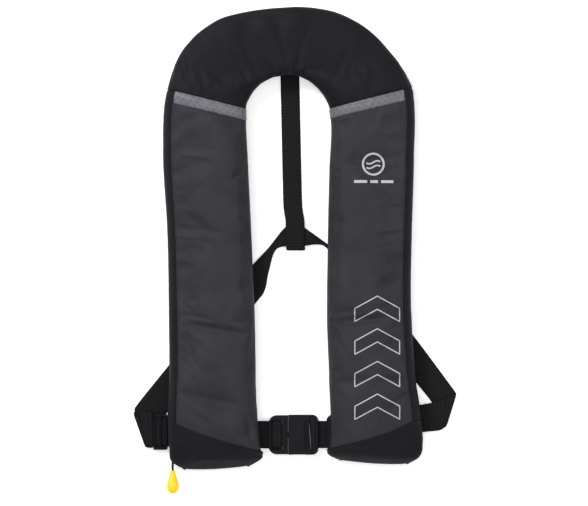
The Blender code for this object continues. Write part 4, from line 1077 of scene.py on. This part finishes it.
def make_adjuster():
    """Ladder adjuster: two side rails and three rounded bars."""
    bars = ((-183.9, 1.3), (-175.7, 1.5), (-167.7, 1.3))
    ends, radius, half, shift = (-185.2, -166.4), 2.5, 23.3, 3.5

    def top(x, y):
        z = np.full(x.shape, 6.3)
        for centre, wide in bars:
            z = np.maximum(z, 6.3 + 0.7 * np.clip(1 - ((x - centre) / wide) ** 2, 0, 1))
        return np.where(np.abs(y - shift) < 20.2, z - 0.5, z)

    obj = moulding("side_ladder", eased(*ends, 100),
                   lambda x: min(corner(x, end, radius, half) for end in ends), top,
                   1.75, 1.0)
    for vert in obj.data.vertices:
        vert.co.y += shift * MM
    low, high = -275.8, -229.2
    carve(obj, [((-190, low + 3.0, 2.65), (-160, high - 2.8, 4.75)),
                ((-190, low + 6.0, 0.5), (-160, high - 6.0, 4.0)),
                ((-182.6, low + 3.2, 4.0), (-177.2, high - 3.0, 9)),
                ((-174.2, low + 3.2, 4.0), (-169.0, high - 3.0, 9))])
    place(obj, "adjuster", "buckle_plastic", "side_adjuster")


# ---- inflator, oral tube ----
def rounded(profile, radius):
    """Profile whose corners are eased, each by a curve through five points."""
    profile = np.array(profile, float)
    points = [profile[0]]
    for before, at, after in zip(profile, profile[1:], profile[2:]):
        reach = min(radius, 0.45 * norm(at - before), 0.45 * norm(after - at))
        start, end = at + unit(before - at) * reach, at + unit(after - at) * reach
        points += [(1 - t) ** 2 * start + 2 * t * (1 - t) * at + t ** 2 * end
                   for t in (0, 0.25, 0.5, 0.75, 1)]
    return np.array(points + [profile[-1]])


def turned(name, origin, axis, profile, mat, body, node, sides=64, radius=0.5):
    """Turned piece that replaces a faceted CAD node; a closed profile makes a ring."""
    points = rounded(profile, radius)
    if profile[0] != profile[-1]:
        tube(name, revolve(origin, axis, points, sides, 0.02), mat, body, [node])
        return
    rings = revolve(origin, axis, points[:-1], sides, 0.02).reshape(-1, 3)
    faces = [tuple(i % len(rings) for i in face)
             for face in grid_faces(len(points), sides, closed=True)]
    place(new_object(name, rings, faces, mat), body, mat, node)


def make_fittings():
    """Smooth turned pieces of the inflator and the oral tube."""
    x, axis_z, base = -100.0, 27.5, THIN_TOP + 0.35
    turned("manifold", (x, -203, 0), (0, 0, 1),
           [(base, 0), (base, 16), (base + 1.4, 16), (base + 1.8, 5), (37, 5), (38.5, 3.5),
            (38.5, 0)], "rubber_black", "harness", "inflator_manifold")
    turned("head_cap", (x, -222.6, 26), (0, -1, 0),
           [(0, 10.1), (0, 13.4), (2, 13.4), (2.6, 12.9), (19, 12.9), (22.5, 10.5),
            (23.4, 0), (20.4, 0), (20.4, 10.1), (0, 10.1)], "cap_yellow", "automatic_head",
           "auto_cap")
    length, radius = 131.0, 13.0
    dome = [(length - radius + radius * sin(a), radius * cos(a))
            for a in (radians(d) for d in range(0, 90, 15))]
    turned("gas_bottle", (x, -175, axis_z), (0, 1, 0),
           [(0, 0), (0, 5.4), (0.8, 6.2), (12.5, 6.2), (16, 8), (22, 12.2), (25, radius)]
           + dome + [(length, 0)], "steel", "gas_cylinder", "co2_cylinder", 72, 2.0)
    turned("bottle_gasket", (x, -165.65, axis_z), (0, 1, 0),
           [(0, 6.6), (0, 9), (1.4, 9), (1.4, 6.6), (0, 6.6)], "rubber_black", "harness",
           "cylinder_gasket", 48, 0.3)
    x, axis_z, mouth = 100.0, 27.0, -104.65
    turned("tube_flange", (x, -198, base), (0, 0, 1),
           [(0, 0), (0, 17), (1.2, 17), (1.8, 8), (2.2, 0)], "rubber_black", "harness",
           "oral_tube_flange")
    turned("valve_body", (x, mouth, axis_z), (0, 1, 0),
           [(0, 0), (0, 7.0), (9, 7.0), (10, 6.2), (24, 6.2), (24, 4.6), (6, 4.6), (6, 0)],
           "inflator_black", "harness", "oral_valve_body")
    turned("valve_poppet", (x, mouth + 9, axis_z), (0, 1, 0),
           [(0, 0), (0, 4.2), (3, 4.2), (3.4, 1.6), (12, 1.6), (12, 3.2), (13.4, 3.2),
            (13.8, 0)], "whistle_orange", "oral_valve", "oral_valve_poppet", 48, 0.3)
    turned("tube_cap", (x, mouth + 15, axis_z), (0, 1, 0),
           [(0, 6.6), (0, 8.2), (11.5, 8.2), (12.5, 7.2), (12.5, 0), (10.8, 0), (10.8, 6.6),
            (0, 6.6)], "inflator_black", "dust_cap", "oral_dust_cap")
    low = base + 3.4
    bend = axis_z - low
    path = [(x, -198 + bend * (1 - cos(a)), low + bend * sin(a))
            for a in np.linspace(0, pi / 2, 14)]
    path = np.array(path + [(x, y, axis_z) for y in np.linspace(path[-1][1] + 4, -105, 60)])
    up = np.cross(ACROSS, unit(np.gradient(path, axis=0)))
    run = np.arange(len(path))
    size = 5.5 - 0.35 * (np.sin(run * 2.4) > 0.2) * (run > 14) * (run < 44)
    tube("mouth_tube", path[:, None] + spokes(ACROSS, up, 36) * size[:, None, None],
         "rubber_black", "harness", ["oral_tube"])


# ---- printed motif ----
def stroke(tree, points, width):
    """Verts and faces of a line of ink along (x, y) points, laid on the cloth."""
    points = np.array(points, float)
    run = run_of(points)
    marks = np.linspace(0, run[-1], max(3, int(run[-1] / 1.2)))
    marks = np.unique(np.concatenate([marks, run]))
    line = np.stack([np.interp(marks, run, points[:, k]) for k in (0, 1)], 1)
    ahead = unit(np.gradient(line, axis=0))
    side = np.column_stack([-ahead[:, 1], ahead[:, 0]]) * width / 2
    down, above = Vector((0, 0, -1)), Vector((0, 0, 0.3))
    verts = [np.array(tree.ray_cast(Vector((*(p + s * k), 90)), down)[0] + above)
             for p, s in zip(line, side) for k in (1, 0, -1)]
    return verts, [(a, a + 1, a + 4, a + 3) for i in range(len(line) - 1)
                   for a in (3 * i, 3 * i + 1)]


def make_print():
    """Plain wave badge near the shoulder, and a column of outlined chevrons below."""
    tree = BVHTree.FromPolygons([Vector(p) for p in COVER.reshape(-1, 3)],
                                grid_faces(*COVER.shape[:2]))
    x, y, r = 101, 96, 13.5
    lines = [([(x + r * cos(radians(a)), y + r * sin(radians(a)))
               for a in np.linspace(0, 360, 40)], 2.6)]
    for rise in (-3.6, 2.4):
        lines.append(([(x + t, y + rise + 2.0 * sin(t / 10.5 * pi))
                       for t in np.linspace(-9, 9, 30)], 2.0))
    for x0, x1 in ((76, 93), (97, 107), (111, 127)):
        lines.append(([(x0, 73.5), (x1, 73.5)], 3.6))
    x0, x1, mid, depth, thick = 77, 135, 106, 16, 17
    for top in (-74, -116, -158, -200):
        lines.append(([(x0, top - depth), (mid, top), (x1, top - depth),
                       (x1, top - depth - thick), (mid, top - thick),
                       (x0, top - depth - thick), (x0, top - depth)], 1.35))
    verts, faces = [], []
    for points, width in lines:
        more, quads = stroke(tree, points, width)
        faces += [tuple(i + len(verts) for i in q) for q in quads]
        verts += more
    place(new_object("printed_motif", verts, faces, "print"), "left_flap",
          "reflective_grey")


def make_facing():
    """Black cloth edge beside the belt, where it leaves the lobe at +X."""
    t, w = np.linspace(0, 1, 34)[:, None], np.linspace(0, 1, 14)[None]
    y = -227.5 - 46 * t + 0 * w
    edge = 46.2 + 0.9 * np.sin(pi * t)
    fold = 0.5 * np.sin(t * 21) * bell(w - 0.6, 0.3)
    swell = np.sin(pi / 2 * np.clip(t / 0.2, 0, 1)) * np.clip((1.04 - t) / 0.1, 0, 1) ** 0.5
    x = edge + 2.5 - (8.6 + fold) * swell * np.sin(pi * np.clip(w * 1.1, 0, 1)) ** 0.7
    grid = np.stack([x, y, 7.6 + 17.0 * w + 0 * t], 2)
    obj = surface_object("belt_side_facing", grid, "cover_black")
    place(obj, "left_flap", "cover_black")
    cloth_sheet(obj, grid)


# ---- camera, light and floor ----
PHOTO_WIDTH_M = 0.7644      # what the photograph's width covers, at the jacket
CAMERA_HEIGHT = 3.2
SENSOR_MM = 36


def make_stage():
    bpy.ops.mesh.primitive_plane_add(size=12, location=(0, 0, -0.0002))
    floor = bpy.context.object
    floor.name = "floor"
    n = Nodes("pale floor")
    n.set(Base_Color=(0.94, 0.94, 0.945, 1), Roughness=0.9, Emission_Color=(1, 1, 1, 1),
          Emission_Strength=0.33)
    floor.data.materials.append(n.mat)
    scene = bpy.context.scene
    camera_data = bpy.data.cameras.new("camera")
    camera = bpy.data.objects.new("camera", camera_data)
    scene.collection.objects.link(camera)
    camera.location = (-0.0013, -0.0186, CAMERA_HEIGHT)
    camera_data.sensor_width = SENSOR_MM
    camera_data.lens = SENSOR_MM * (CAMERA_HEIGHT - 0.02) / PHOTO_WIDTH_M
    scene.camera = camera
    # name, place, width of the square, power
    for name, spot, size, power in (
            ("key", (-1.2, 1.5, 1.8), 0.8, 50), ("fill", (1.7, 0.2, 1.5), 1.2, 11),
            ("front", (0.1, -1.7, 1.5), 1.2, 9), ("top", (0, 0, 2.9), 1.6, 18)):
        data = bpy.data.lights.new(name, "AREA")
        data.shape, data.size, data.energy = "SQUARE", size, power
        light = bpy.data.objects.new(name, data)
        light.location = spot
        light.rotation_euler = (-Vector(spot)).to_track_quat("-Z", "Y").to_euler()
        scene.collection.objects.link(light)
    world = bpy.data.worlds.new("studio")
    world.use_nodes = True
    background = world.node_tree.nodes["Background"]
    background.inputs["Color"].default_value = (1, 1, 1, 1)
    background.inputs["Strength"].default_value = 0.4
    scene.world = world
    scene.view_settings.view_transform = "Standard"


for make in (make_stage, make_cord, dress_frame, make_bladder, make_cover, make_stitches,
             make_back, make_straps, make_buckle, make_adjuster, make_fittings, make_print,
             make_facing):
    make()
